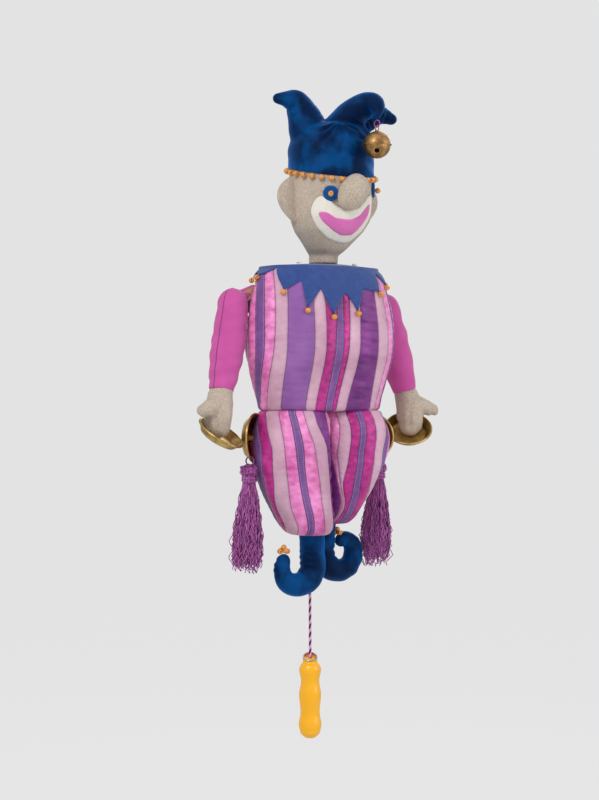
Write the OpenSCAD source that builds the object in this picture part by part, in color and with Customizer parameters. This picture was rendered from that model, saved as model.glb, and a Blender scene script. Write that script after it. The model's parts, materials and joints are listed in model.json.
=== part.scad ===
/* [Body] */
// Distance from the torso's middle plane back to the board's front face
board_set_back = 28; // [26:1:30]
// Height of the torso's flat top
torso_top = 19.5; // [16:0.5:22]
// Height of the torso from waist to top
torso_h = 183; // [178:1:188]
// Greatest half width of the torso
torso_half_w = 103; // [99:1:104]
// Depth of the torso in front of its middle plane
torso_front_d = 55; // [50:1:60]
// Thickness of the padded back panel behind the board
back_pad_t = 3; // [2.5:0.5:5]
// Greatest half width across both trouser legs
hip_half_w = 94; // [90:1:96]
// Half depth of the trousers at the hips
hip_half_d = 49; // [46:1:52]
// How far the trouser legs reach below the waist
trouser_h = 148; // [142:1:154]
// How much lower the right trouser leg hangs
right_drop = 12; // [8:1:14]

/* [Head and hat] */
// Half width of the head
head_half_w = 54.5; // [50:0.5:58]
// Half depth of the head
head_half_d = 52; // [48:0.5:55]
// Height of the hat's edge above the middle of the head
hat_edge_z = 144.5; // [140:0.5:150]
// Forward tilt of the hat's edge, in degrees
hat_tilt = 12.5; // [8:0.5:14]
// Half width of the neck
neck_r = 18.8; // [16:0.2:20]
// How far each ear stands out from the middle of the head
ear_reach = 79; // [72:1:84]
// Thickness of the ears
ear_t = 5; // [4:0.5:7]
// Diameter of the wooden beads
bead_d = 7; // [5:0.5:8]
// Diameter of the felt eyes
eye_d = 20; // [16:1:24]
// Thickness of felt
felt_t = 2; // [1.5:0.1:3]
// Diameter of the bell
bell_d = 36; // [32:1:38]
// Wall of the bell
bell_wall = 1; // [0.8:0.1:1.5]
// Diameter of the pellet in the bell
pellet_d = 9; // [7:0.5:12]
// Number of beads round the hat's edge
hat_bead_count = 28; // [20:1:32]

/* [Board and mechanism] */
// Thickness of the plywood board and of the arm cores
ply_t = 8; // [7:0.5:9]
// Half width of the board's middle panel
board_half_w = 62; // [58:1:66]
// Half distance between the two shoulder pins
shoulder_x = 119; // [117:1:121]
// Height of the shoulder pins
shoulder_z = -26; // [-30:1:-22]
// Diameter of the shoulder pins
shoulder_pin_d = 5; // [4:0.5:6]
// Running clearance round a pin, on the radius
pin_gap = 0.05; // [0.02:0.01:0.1]
// Clearance between soft pieces and what they lie against
soft_gap = 0.3; // [0.3:0.05:0.6]
// Length of each arm lever, from the pin to the string hole
lever_len = 47; // [44:1:50]
// Rise of the lever above level at rest, in degrees
lever_rise = 28; // [24:1:32]
// Travel of the pull cord
pull_travel = 45; // [40:1:48]
// Diameter of the pull cord
cord_d = 3.8; // [3:0.2:4.2]
// Diameter of the hole for a wall screw in the hanger plate
hanger_hole_d = 8; // [6:0.5:10]
// Thickness of the hanger plate
hanger_t = 2; // [1.5:0.5:3]

/* [Arms] */
// Half width of the round top of the sleeve
sleeve_top_r = 19.5; // [18:0.5:20.5]
// Half width of the sleeve at its widest
sleeve_r = 21.5; // [19:0.5:22]
// Half width of the sleeve at its hem
cuff_r = 15.5; // [14:0.5:17]
// Length of the sleeve from the pin to its hem
sleeve_len = 114; // [108:1:118]
// Lean of the arm away from the body, in degrees
arm_lean = 12.5; // [11:0.5:15]
// How far the hem lies in front of the pin
arm_forward = 12; // [8:1:14]
// Length of the hand from the hem to the fingertips
hand_len = 52; // [46:1:56]

/* [Cymbals and tassels] */
// Diameter of the cymbals
cymbal_d = 65; // [60:1:66]
// Depth of the cymbals
cymbal_depth = 9; // [7:0.5:10]
// Thickness of the cymbals' metal
cymbal_t = 1.2; // [1:0.1:1.6]
// Half distance between the middles of the two hip cymbals
hip_rim_x = 89.6; // [88:0.2:91]
// Turn of the hip cymbals towards the back, in degrees
hip_cymbal_turn = 54; // [52:1:56]
// Diameter of the cymbal screws and rivets
cymbal_screw_d = 4; // [3:0.5:5]
// Length of a tassel from its ring to its lowest threads
tassel_len = 130; // [124:1:136]
// Half width of a tassel's bound head
tassel_head_r = 9.5; // [8:0.5:11]
// Half width of a tassel's skirt where it spreads
tassel_skirt_r = 18; // [15:1:20]

/* [Legs] */
// Half distance between the two ankles
ankle_x = 19.5; // [19:0.5:21]
// Half thickness of the ankles
ankle_r = 14.5; // [13:0.5:15]
// Distance from the ankle pin to the sole
leg_len = 94; // [88:1:98]
// Distance from the ankle to the front of the toe
toe_reach = 55; // [50:1:58]
// Diameter of the ankle pins
ankle_pin_d = 4; // [3:0.5:5]
// Swing of each leg to either side of rest, in degrees
leg_swing = 20; // [15:1:22]

/* [Handle] */
// Length of the pull handle
handle_len = 111; // [105:1:116]
// Greatest diameter of the pull handle
handle_d = 30; // [27:0.5:32]
// Height of the handle's top
handle_top = -481; // [-484:1:-478]
// Diameter of the handle's wire ring
ring_d = 17; // [15:0.5:18]

/* [Hidden] */
$fn = 48;

// Sides: the figure's own right is at -X
RIGHT = -1;
LEFT = 1;

// Places that follow from the sizes: the back face of the hanger plate lies in y = 0
board_back = -hanger_t;
board_front = board_back - ply_t;
mid_y = board_front - board_set_back;
torso_back_y = board_back + back_pad_t;
torso_back_d = torso_back_y - mid_y;
waist_z = torso_top - torso_h;
torso_seam_y = board_front;
core_gap = 2;
core_back = board_front - core_gap;
core_front = core_back - ply_t;
core_y = (core_front + core_back) / 2;
cord_y = board_front - 4;
hip_z = waist_z - 35;

// A closed ring of points: half width a, front depth bf, back depth bb, squareness nf in front and nb behind
function ring(z, a, bf, bb, cx = 0, cy = 0, nf = 2.6, nb = 3.2, k = 28) =
    [for (i = [0:k - 1])
        let (t = 360 * i / k, c = cos(t), s = sin(t), n = s < 0 ? nf : nb, b = s < 0 ? bf : bb)
        [cx + a * sign(c) * pow(abs(c), 2 / n), cy + b * sign(s) * pow(abs(s), 2 / n), z]];

// A solid through stacked rings that all have the same number of points; the ends of a strip are closed row by row
module skin(rings, strip = false) {
    k = len(rings[0]);
    n = len(rings);
    points = [for (r = rings) for (p = r) p];
    sides = [for (j = [0:n - 2]) for (i = [0:k - 1])
        let (a = j * k + i, b = j * k + (i + 1) % k)
        each [[a, a + k, b], [b, a + k, b + k]]];
    bottom = strip ? strip_end(k, 0) : [[for (i = [0:k - 1]) i]];
    top = strip ? [for (f = strip_end(k, (n - 1) * k)) [f[2], f[1], f[0]]] : [[for (i = [k - 1:-1:0]) (n - 1) * k + i]];
    polyhedron(points = points, faces = concat(bottom, sides, top));
}

function strip_end(k, first) = [for (i = [0:k / 2 - 2]) let (a = first + i, b = first + k - 1 - i)
    each [[a, a + 1, b], [a + 1, b - 1, b]]];

function unit(v) = v / norm(v);
function along(path, i) = unit(path[min(i + 1, len(path) - 1)] - path[max(i - 1, 0)]);

// A ring of radius r round a path point, with its second axis along flat and stretched by wide
function path_ring(p, dir, r, flat, wide, k) =
    let (n = unit(cross(dir, flat)), b = cross(n, dir))
    [for (i = [0:k - 1]) let (t = 360 * i / k) p + r * cos(t) * n + r * wide * sin(t) * b];

// A round-ended tube along a path in a plane whose normal is flat
module tube(path, radii, flat = [0, 1, 0], wide = 1, k = 16, round_start = true, round_end = true) {
    last = len(path) - 1;
    d0 = along(path, 0);
    d1 = along(path, last);
    start = round_start
        ? [for (t = [12, 45]) path_ring(path[0] - d0 * radii[0] * cos(t), d0, radii[0] * sin(t), flat, wide, k)] : [];
    end = round_end
        ? [for (t = [45, 12]) path_ring(path[last] + d1 * radii[last] * cos(t), d1, radii[last] * sin(t), flat, wide, k)]
        : [];
    body = [for (i = [0:last]) path_ring(path[i], along(path, i), radii[i], flat, wide, k)];
    skin(concat(start, body, end));
}

// Balls along a path, each joined to the next
module chain(path, radii) {
    for (i = [0:len(path) - 2]) hull() {
        translate(path[i]) sphere(r = radii[i], $fn = 18);
        translate(path[i + 1]) sphere(r = radii[i + 1], $fn = 18);
    }
}

// Rounded slab in the X-Z plane, from y0 to y1
module slab(y0, y1) {
    translate([0, y1, 0]) rotate([90, 0, 0]) linear_extrude(y1 - y0) children();
}

// A cylinder along Y from y0 to y1
module y_rod(x, z, r, y0, y1) {
    translate([x, y1, z]) rotate([90, 0, 0]) cylinder(r = r, h = y1 - y0);
}

// ---- torso and trousers -------------------------------------------------------------------------------------------

// Share of the height from the top, share of the greatest half width, share of the depth
torso_shape = [[0, 0.76, 0.76], [0.03, 0.81, 0.82], [0.085, 0.86, 0.88], [0.17, 0.912, 0.94], [0.29, 0.968, 0.98],
    [0.43, 1, 1], [0.56, 0.995, 1], [0.68, 0.955, 0.95], [0.79, 0.9, 0.88], [0.9, 0.84, 0.82], [1, 0.8, 0.78]];

module torso_solid() {
    skin([for (i = [len(torso_shape) - 1:-1:0]) let (s = torso_shape[i])
        ring(torso_top - s[0] * torso_h, torso_half_w * s[1], torso_front_d * s[2],
            torso_back_d * min(1, 0.93 + 2 * min(s[0], 1 - s[0])), 0, mid_y, 2.8, 4, 40)]);
}

// Room for the levers, strings and cord in front of the board
pocket_half_w = torso_half_w - 21;
pocket_top = torso_top - 14;
pocket_side_z = pocket_top - 66;
pocket_front = core_front - 4;
lever_slot_h = 32;

module lever_slots() {
    for (s = [RIGHT, LEFT])
        translate([s * torso_half_w - 30, core_front - 4, shoulder_z - lever_slot_h])
            cube([60, board_front - core_front + 5, 2 * lever_slot_h]);
}

module board_outline(grow = 0) {
    offset(r = grow) {
        hull() for (s = [RIGHT, LEFT]) translate([s * shoulder_x, shoulder_z]) circle(r = bar_r, $fn = 32);
        hull() {
            for (s = [RIGHT, LEFT]) {
                translate([s * (board_half_w - 8), torso_top - 12]) circle(r = 8, $fn = 32);
                translate([s * (board_half_w - 8), hip_z - 10]) circle(r = 8, $fn = 32);
            }
        }
    }
}
bar_r = 11;

module back_board() {
    color("burlywood") difference() {
        slab(board_front, board_back) board_outline();
        y_rod(0, 0, hanger_hole_d / 2 + 3, board_front - 1, board_back + 1);
        for (s = [RIGHT, LEFT])
            y_rod(s * shoulder_x, shoulder_z, shoulder_pin_d / 2, board_front - 1, board_back + 1);
        for (s = [RIGHT, LEFT]) y_rod(0, s * hanger_screw_z, hanger_screw_d / 2, board_front - 1, board_back + 1);
    }
}
hanger_screw_z = 9.5;
hanger_screw_d = 3;
hanger_half_w = 8;
hanger_half_h = 14;

module hanger_plate() {
    color("goldenrod") difference() {
        slab(-hanger_t, 0) hull() for (s = [-1, 1])
            translate([0, s * (hanger_half_h - hanger_half_w)]) circle(r = hanger_half_w, $fn = 32);
        y_rod(0, 0, hanger_hole_d / 2, -hanger_t - 1, 1);
        for (s = [-1, 1]) y_rod(0, s * hanger_screw_z, hanger_screw_d / 2, -hanger_t - 1, 1);
    }
}

module hanger_screws() {
    color("darkgoldenrod") for (s = [-1, 1]) {
        y_rod(0, s * hanger_screw_z, hanger_screw_d / 2, board_front + 1, 0);
        y_rod(0, s * hanger_screw_z, hanger_screw_d * 0.85, 0, 0.8);
    }
}

module shoulder_pins() {
    color("silver") for (s = [RIGHT, LEFT]) {
        y_rod(s * shoulder_x, shoulder_z, shoulder_pin_d / 2, core_front - 2, board_back);
        y_rod(s * shoulder_x, shoulder_z, shoulder_pin_d / 2 + 2, core_front - 3, core_front - soft_gap);
        y_rod(s * shoulder_x, shoulder_z, shoulder_pin_d / 2 + 3, core_back + soft_gap, board_front);
    }
}

module cord_guide() {
    color("burlywood") difference() {
        translate([-guide_half_w, cord_y - 8, guide_z - guide_h])
            cube([2 * guide_half_w, board_front - cord_y + 8, guide_h]);
        translate([0, cord_y, guide_z - guide_h - 1]) cylinder(r = cord_d / 2 + 1, h = guide_h + 2);
    }
}
guide_h = 12;
guide_half_w = 12;
guide_z = waist_z + 14;

module neck_block() {
    color("burlywood") difference() {
        translate([-block_half, neck_y - block_half, neck_block_z])
            cube([2 * block_half, board_front - neck_y + block_half, neck_block_h]);
        translate([0, neck_y, neck_block_z + 3]) cylinder(r = dowel_r, h = neck_block_h);
    }
}
neck_y = mid_y - 8;
dowel_r = 6;
block_half = 12;
neck_block_z = torso_top - 30;
neck_block_h = 16;

module neck_dowel() {
    color("burlywood") translate([0, neck_y, neck_block_z + 3]) cylinder(r = dowel_r, h = 78);
}

module torso_front() {
    color("mediumorchid") difference() {
        torso_solid();
        translate([-200, torso_seam_y, -300]) cube([400, 200, 600]);
        slab(pocket_front, torso_seam_y + 1) polygon([for (s = [RIGHT, LEFT]) for (q = s == RIGHT
            ? [[8, guide_z - 1], [8, guide_z + 4], [pocket_half_w, pocket_side_z], [pocket_half_w, pocket_top]]
            : [[pocket_half_w, pocket_top], [pocket_half_w, pocket_side_z], [8, guide_z + 4], [8, guide_z - 1]])
            [s * q[0], q[1]]]);
        lever_slots();
        translate([-block_half - soft_gap, neck_y - block_half - soft_gap, neck_block_z - soft_gap])
            cube([2 * (block_half + soft_gap), 100, neck_block_h + 2 * soft_gap]);
        translate([0, neck_y, neck_block_z]) cylinder(r = dowel_r + soft_gap, h = 60);
        translate([-guide_half_w - soft_gap, cord_y - 8 - soft_gap, waist_z - 1])
            cube([2 * (guide_half_w + soft_gap), 60, guide_z - waist_z + 1 + soft_gap]);
    }
}

module torso_back() {
    color("orchid") difference() {
        torso_solid();
        translate([-200, torso_seam_y - 200, -300]) cube([400, 200, 600]);
        slab(torso_seam_y - 1, board_back + soft_gap) board_outline(soft_gap);
        slab(board_back - 1, torso_back_y + 2) hull() for (s = [-1, 1])
            translate([0, s * (hanger_half_h - hanger_half_w)]) circle(r = hanger_half_w + soft_gap, $fn = 32);
    }
}

// Share of the leg's height below the waist, middle from the centre line, half width, half depth, shift forward
leg_sections = [[0, 0.445, 0.43, 0.82, 0], [0.06, 0.46, 0.448, 0.93, 0], [0.15, 0.485, 0.475, 1, 0],
    [0.25, 0.5, 0.49, 1.02, 0], [0.42, 0.475, 0.463, 1.02, 0.02], [0.56, 0.425, 0.411, 0.99, 0.05],
    [0.7, 0.37, 0.353, 0.94, 0.1], [0.83, 0.316, 0.3, 0.86, 0.17], [0.93, 0.285, 0.262, 0.74, 0.22],
    [0.98, 0.27, 0.215, 0.58, 0.24], [1, 0.265, 0.15, 0.4, 0.24]];

module trouser_solid(s, drop, shift) {
    skin([for (i = [len(leg_sections) - 1:-1:0]) let (q = leg_sections[i])
        ring(waist_z - q[0] * (trouser_h + drop), hip_half_w * q[2], hip_half_d * q[3],
            min(hip_half_d * q[3], torso_back_d + 2 * q[0]), s * hip_half_w * q[1], mid_y + shift * q[4],
            2.6, 3, 28)]);
}

// Where each ankle pin sits, and how far in front of or behind the middle plane its leg hangs
right_ankle = [-ankle_x, mid_y - 10.3, waist_z - trouser_h - right_drop + 15];
left_ankle = [ankle_x, mid_y + 21.5, waist_z - trouser_h + 15];

// Room for the ankle over its whole swing: a round end and a fan that opens downward
module ankle_room(p) {
    w = ankle_r + 1.2;
    translate(p) rotate([0, 90, 0]) cylinder(r = ankle_r + 2, h = 2 * (ankle_r + 1.5), center = true);
    translate(p - [ankle_r + 1.5, 0, 0]) rotate([90, 0, 90]) linear_extrude(2 * (ankle_r + 1.5))
        polygon([for (q = [[-1, 0], [-1, -60], [1, -60], [1, 0]]) let (a = leg_swing * q[0])
            [w * q[0] * cos(a) - q[1] * sin(a), w * q[0] * sin(a) + q[1] * cos(a)]]);
    ankle_pin(p);
}

// The pin reaches into the outer wall and stops short of the cord
ankle_pin_half = 18.7;
module ankle_pin(p) {
    translate(p + [sign(p[0]) * 3.3, 0, 0]) rotate([0, 90, 0])
        cylinder(r = ankle_pin_d / 2, h = 2 * ankle_pin_half, center = true);
}

module trouser_leg(s, drop, shift, p) {
    difference() {
        trouser_solid(s, drop, shift);
        ankle_room(p);
        translate([0, cord_y, waist_z - trouser_h - 60]) cylinder(r = cord_d / 2 + 2, h = trouser_h + 62);
        slab(board_front - soft_gap, board_back + soft_gap) board_outline(soft_gap);
        hip_block_room(s);
    }
}

module right_trouser() { color("orchid") trouser_leg(RIGHT, right_drop, -50, right_ankle); }
module left_trouser() { color("orchid") trouser_leg(LEFT, 0, 60, left_ankle); }

// ---- hip cymbals --------------------------------------------------------------------------------------------------

// Middle of the rim of a hip cymbal, which cups the padding at the back of the hip
function hip_centre(s) = [s * hip_rim_x, mid_y + 15.4, hip_z];
function hip_angle(s) = s == RIGHT ? 180 - hip_cymbal_turn : hip_cymbal_turn;

// Turns +Z of a child to the outward normal of a hip cymbal, and +X down
module hip_turn(s) { rotate([0, 0, hip_angle(s)]) rotate([0, 90, 0]) children(); }

// A shallow dish: its rim lies in z = 0 and its flat bottom at z = cymbal_depth, hollow towards -z
module cymbal() {
    r = cymbal_d / 2 - rim_bead;
    rotate_extrude() {
        polygon([[cymbal_screw_d / 2, cymbal_depth - cymbal_t], [cymbal_foot - 1.3, cymbal_depth - cymbal_t],
            [r - cymbal_t, 0], [r, 0], [cymbal_foot, cymbal_depth], [cymbal_screw_d / 2, cymbal_depth]]);
        translate([r, 0]) circle(r = rim_bead, $fn = 24);
    }
}

// What the padding leaves free round and behind a hip cymbal
module cymbal_room() {
    rotate_extrude() polygon([[0, cymbal_depth - cymbal_t - soft_gap], [cymbal_foot - 1.8, cymbal_depth - cymbal_t - soft_gap],
        [cymbal_d / 2 - 2 * rim_bead - cymbal_t, -rim_bead - 1], [cymbal_d / 2 + 1.5, -rim_bead - 1],
        [cymbal_d / 2 + 1.5, 60], [0, 60]]);
}

rim_bead = 1.6;
cymbal_foot = cymbal_d * 0.38;

// The tassel's hole goes square through the slanting wall, low on the rim and turned a little outward
hole_turn = 20;
hole_r = cymbal_d / 2 - 5.6;
wall_run = cymbal_d / 2 - rim_bead - cymbal_foot;
hole_out = cymbal_depth * (1 - (hole_r - cymbal_foot) / wall_run) - cymbal_t / 2;
wall_lean = atan(cymbal_depth / wall_run);

module hip_cymbal(s) {
    color("goldenrod") translate(hip_centre(s)) hip_turn(s) difference() {
        cymbal();
        at_hole(s) rotate([0, wall_lean, 0]) cylinder(r = 1.8, h = 6, center = true);
    }
}
// Child's +X points from the cymbal's middle to the hole
module at_hole(s) { rotate([0, 0, -s * hole_turn]) translate([hole_r, 0, hole_out]) children(); }
module right_hip_cymbal() { hip_cymbal(RIGHT); }
module left_hip_cymbal() { hip_cymbal(LEFT); }

// A wooden block on the board, with one face square to the cymbal's screw
module hip_block_shape(s, grow = 0) {
    translate([0, 0, hip_z - 12 - grow]) linear_extrude(24 + 2 * grow) offset(delta = grow)
        polygon([for (q = [[42, 28], [62, 28], [84, 12], [78, -6], [60, -6], [42, 8]]) [s * q[0], mid_y + q[1]]]);
}
module hip_block_room(s) {
    hip_block_shape(s, soft_gap);
    translate(hip_centre(s)) hip_turn(s) {
        translate([0, 0, -36]) cylinder(r = cymbal_screw_d / 2 + screw_boss + soft_gap, h = 50);
        cymbal_room();
    }
}
screw_boss = 2.5;
boss_h = cymbal_depth - cymbal_t + 6;

module hip_blocks() {
    color("burlywood") for (s = [RIGHT, LEFT]) difference() {
        hip_block_shape(s);
        translate(hip_centre(s)) hip_turn(s) translate([0, 0, -40]) cylinder(r = cymbal_screw_d / 2, h = 40);
    }
}

module hip_screws() {
    color("darkgoldenrod") for (s = [RIGHT, LEFT]) translate(hip_centre(s)) hip_turn(s) {
        translate([0, 0, -22]) cylinder(r = cymbal_screw_d / 2, h = 22 + cymbal_depth);
        translate([0, 0, cymbal_depth]) cylinder(r1 = cymbal_screw_d, r2 = cymbal_screw_d * 0.6, h = 2);
        translate([0, 0, cymbal_depth - cymbal_t - boss_h]) cylinder(r = cymbal_screw_d / 2 + screw_boss, h = boss_h);
    }
}

module ankle_pins() {
    color("silver") for (p = [right_ankle, left_ankle]) ankle_pin(p);
}

// ---- head ---------------------------------------------------------------------------------------------------------

head_y = mid_y - 25;

// Height, share of the head's half width, share of the way from the neck's middle to the head's middle
head_shape = [[torso_top + 7, 0.345, 0], [torso_top + 17, 0.35, 0.02], [torso_top + 24, 0.46, 0.26],
    [torso_top + 37, 0.655, 0.52], [torso_top + 50, 0.845, 0.72], [torso_top + 69, 0.98, 0.93],
    [torso_top + 92, 1, 1], [hat_edge_z + 20, 0.99, 1]];

function head_mid(share) = neck_y + (head_y - neck_y) * share;

module head_solid(grow = 0) {
    skin([for (q = head_shape) ring(q[0], head_half_w * q[1] + grow, head_half_d * q[1] + grow,
        head_half_d * q[1] + grow, 0, head_mid(q[2]), 2, 2, 36)]);
}

// A point on the head's side at height z, turned by turn degrees from straight ahead towards the figure's left,
// out beyond the surface
function on_head(turn, z, out = 0) =
    let (w = lookup(z, [for (q = head_shape) [q[0], q[1]]]), m = lookup(z, [for (q = head_shape) [q[0], q[2]]]))
    [(head_half_w * w + out) * sin(turn), head_mid(m) - (head_half_d * w + out) * cos(turn), z];

// Everything above the tilted plane of the hat's edge
hat_turn = -5;
module over_edge() {
    translate([0, head_y, hat_edge_z]) rotate([0, 0, hat_turn]) rotate([hat_tilt, 0, 0])
        translate([-200, -200, 0]) cube([400, 400, 300]);
}
function edge_z(turn) = hat_edge_z - head_half_d * tan(hat_tilt) * cos(turn - hat_turn);

module head() {
    color("tan") difference() {
        head_solid();
        over_edge();
        translate([0, neck_y, torso_top]) cylinder(r = dowel_r + soft_gap, h = 62);
    }
}

ear_top = hat_edge_z - 9;
ear_h = 60;

module ear(s) {
    color("tan") difference() {
        translate([0, head_y + 5 + ear_t / 2, 0]) rotate([90, 0, 0]) linear_extrude(ear_t)
            polygon([for (t = [0:10:180]) let (u = t / 180)
                [s * (head_half_w - 6 + (ear_reach - head_half_w + 6) * pow(sin(t), 0.8)), ear_top - ear_h * pow(u, 1.25)]]);
        head_solid(soft_gap);
    }
}
module right_ear() { ear(RIGHT); }
module left_ear() { ear(LEFT); }

// Turn round the head and height of each eye
eyes = [[-33, 111], [53, 121]];
nose_turn = -4;
nose_z = 114;
mouth_turn = -9;

module nose_shape(grow = 0) {
    translate(on_head(nose_turn, nose_z, 5)) rotate([0, 28, nose_turn]) scale([1, 0.8, 1]) hull() {
        translate([0, 0, 7]) sphere(r = 19 + grow, $fn = 24);
        translate([0, 0, -8]) sphere(r = 17.5 + grow, $fn = 24);
    }
}

module nose() {
    color("tan") difference() {
        nose_shape();
        head_solid(0.1);
        for (e = eyes) eye_disc(e, soft_gap);
        intersection() {
            skin([for (z = [hat_edge_z - 40, hat_edge_z + 10]) ring(z, head_half_w * 1.03 + soft_gap,
                head_half_d * 1.03 + soft_gap, head_half_d * 1.03 + soft_gap, 0, head_y, 2, 2, 36)]);
            translate([0, 0, -soft_gap]) over_edge();
        }
        for (i = [1, hat_bead_count - 2]) translate(hat_bead(i)) sphere(d = bead_d + 2 * soft_gap);
    }
}

// Turns -Y of a child to the outward direction of the head at this turn
module at_head(turn, z, out = 0) { translate(on_head(turn, z, out)) rotate([0, 0, turn]) children(); }

module eye_disc(e, grow = 0) {
    at_head(e[0], e[1]) rotate([90, 0, 0]) cylinder(d = eye_d + 2 * grow, h = felt_t + 1 + grow);
}

module eye_patches() {
    color("steelblue") difference() {
        for (e = eyes) eye_disc(e);
        head_solid(0.1);
    }
}

module eye_beads() {
    color("orange") for (e = eyes)
        at_head(e[0], e[1] - 1, felt_t + 1 + bead_d / 2 + 0.05) sphere(d = bead_d, $fn = 24);
}

// A patch that follows the head between two turns, its lower and upper edge given as heights along it
module head_patch(turn0, turn1, low, high, in, out) {
    steps = 10;
    rows = 14;
    skin([for (i = [0:steps]) let (a = turn0 + (turn1 - turn0) * i / steps, lo = lookup(i / steps, low),
            hi = lookup(i / steps, high))
        concat([for (j = [0:rows]) on_head(a, lo + (hi - lo) * j / rows, out)],
            [for (j = [rows:-1:0]) on_head(a, lo + (hi - lo) * j / rows, in)])], true);
}

module patch_felt() {
    difference() {
        head_patch(mouth_turn - 50, mouth_turn + 48, [[0, 96], [0.2, 72], [0.5, 54], [0.8, 72], [1, 108]],
            [[0, 99], [0.1, 112], [0.5, 104], [0.9, 114], [1, 112]], -2, felt_t + 0.8);
        head_solid(0.1);
        nose_shape(soft_gap);
        for (e = eyes) eye_disc(e, soft_gap);
    }
}

module face_patch() { color("ivory") patch_felt(); }

module mouth() {
    color("orchid") difference() {
        head_patch(mouth_turn - 38, mouth_turn + 38, [[0, 91], [0.25, 71], [0.5, 60], [0.75, 69], [1, 98]],
            [[0, 97], [0.25, 90], [0.5, 86], [0.75, 91], [1, 105]], felt_t + 1.2, felt_t + 2.6);
        nose_shape(soft_gap);
    }
}

// ---- hat ----------------------------------------------------------------------------------------------------------

crown_top = hat_edge_z + 57;
right_horn = [[-14, head_y + 4, crown_top - 4], [-38, head_y + 6, crown_top + 16], [-58, head_y + 8, crown_top + 31],
    [-75, head_y + 8, crown_top + 29]];
front_horn = [[4, head_y - 8, crown_top - 6], [16, head_y - 34, crown_top + 18], [25, head_y - 58, crown_top + 26],
    [24, head_y - 70, crown_top + 18], [21, head_y - 73, crown_top + 9]];
left_horn = [[10, head_y - 2, crown_top - 8], [40, head_y - 14, crown_top + 10], [60, head_y - 24, crown_top + 18],
    [74, head_y - 30, crown_top + 13]];

module crown() {
    intersection() {
        skin([for (q = [[hat_edge_z - 20, 1.03], [hat_edge_z + 20, 1.03], [hat_edge_z + 40, 0.98], [crown_top - 4, 0.9],
                [crown_top + 3, 0.7]])
            ring(q[0], head_half_w * q[1], head_half_d * q[1], head_half_d * q[1], 0, head_y, 2, 2, 36)]);
        over_edge();
    }
}

module hat() {
    color("royalblue") {
        crown();
        chain(right_horn, [24, 19, 14, 7]);
        chain(front_horn, [24, 19, 14, 10, 6]);
        chain(left_horn, [24, 18, 13, 8]);
    }
}

function hat_bead(i) =
    let (turn = 360 * (i + 0.5) / hat_bead_count)
    on_head(turn, edge_z(turn) - bead_d / 2 - 0.8, bead_d / 2 + 0.6);

module hat_beads() {
    color("orange") for (i = [1:hat_bead_count - 2]) translate(hat_bead(i)) sphere(d = bead_d, $fn = 20);
}

// ---- bell ---------------------------------------------------------------------------------------------------------

bell_pivot = front_horn[4] + [0, 0, -14];
loop_r = 3.2;
loop_wire = 0.7;
thread_r = 4.4;
thread_wire = 0.6;
bell_c = bell_pivot + [0, 0, -loop_r - loop_wire - 2 - bell_d / 2];
// The bell swings round the hat, about the line that points out from the head's middle
bell_turn = atan2(bell_pivot[0], head_y - bell_pivot[1]);

module bell_thread() {
    color("purple") translate(bell_pivot + [0, 0, thread_r - loop_wire - thread_wire - soft_gap])
        rotate([90, 0, bell_turn + 90]) rotate_extrude() translate([thread_r, 0]) circle(r = thread_wire, $fn = 24);
}

module bell_shell(low) {
    r = bell_d / 2;
    translate(bell_c) intersection() {
        rotate_extrude() difference() {
            union() {
                circle(r = r - 0.8);
                translate([r - 2, -0.8]) square([2, 1.6]);
                if (!low) translate([0, r - 0.8 - bell_wall / 2]) square([2.5, 1.8]);
            }
            circle(r = r - 0.8 - bell_wall);
            translate([-2 * r, -2 * r]) square([2 * r, 4 * r]);
        }
        translate([-r, -r, low ? -2 * r : 0]) cube(2 * r);
    }
}

module bell_top() {
    color("peru") {
        bell_shell(false);
        translate(bell_pivot + [0, 0, -loop_r]) rotate([90, 0, bell_turn]) rotate_extrude()
            translate([loop_r, 0]) circle(r = loop_wire, $fn = 24);
    }
}

module bell_bottom() {
    color("peru") difference() {
        bell_shell(true);
        for (t = [bell_turn - 34, bell_turn + 146]) translate(bell_c) rotate([58, 0, t]) translate([0, 0, -bell_d])
            cylinder(r = 3.2, h = bell_d - 4);
    }
}

module bell_pellet() {
    color("silver") translate(bell_c + [0, 0, -(bell_d / 2 - 0.8 - bell_wall - pellet_d / 2 - 0.3)]) sphere(d = pellet_d);
}

// ---- collar -------------------------------------------------------------------------------------------------------

collar_tips = 14;
collar_turn = -8;
collar_steps = 4;
collar_k = collar_tips * collar_steps;

function tip_z(turn) = torso_top - 11.5 - 50 * pow(max(0, cos(turn)), 1.8);
function valley_z(turn) = torso_top - 7.5 - 24 * pow(max(0, cos(turn)), 1.8);
function hem_z(i) =
    let (turn = collar_turn + 360 * i / collar_k, u = abs((i % collar_steps) / (collar_steps / 2) - 1))
    tip_z(turn) * u + valley_z(turn) * (1 - u);

// A point on the torso's skin at this turn and height, out beyond it
function on_torso(turn, z, out) =
    let (s = max(0, min(1, (torso_top - z) / torso_h)),
        a = torso_half_w * lookup(s, [for (q = torso_shape) [q[0], q[1]]]) + out,
        front = cos(turn) > 0, n = front ? 2.8 : 4,
        b = (front ? torso_front_d * lookup(s, [for (q = torso_shape) [q[0], q[2]]]) : torso_back_d) + out,
        x = sin(turn), y = -cos(turn))
    [a * sign(x) * pow(abs(x), 2 / n), mid_y + b * sign(y) * pow(abs(y), 2 / n), z];

// The collar's skin from the neck out over the top edge and down to its hem
function collar_line(i, out) =
    let (turn = collar_turn + 360 * i / collar_k, low = hem_z(i))
    concat([[(neck_r + 2) * sin(turn), neck_y - (neck_r + 2) * cos(turn), torso_top + 6 + out]],
        [let (e = on_torso(turn, torso_top, out + 1)) [e[0], e[1], torso_top + 1 + out]],
        [for (f = [0.12, 0.35, 0.65, 1]) on_torso(turn, torso_top + (low - torso_top) * f, out + 1.5)]);

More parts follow.
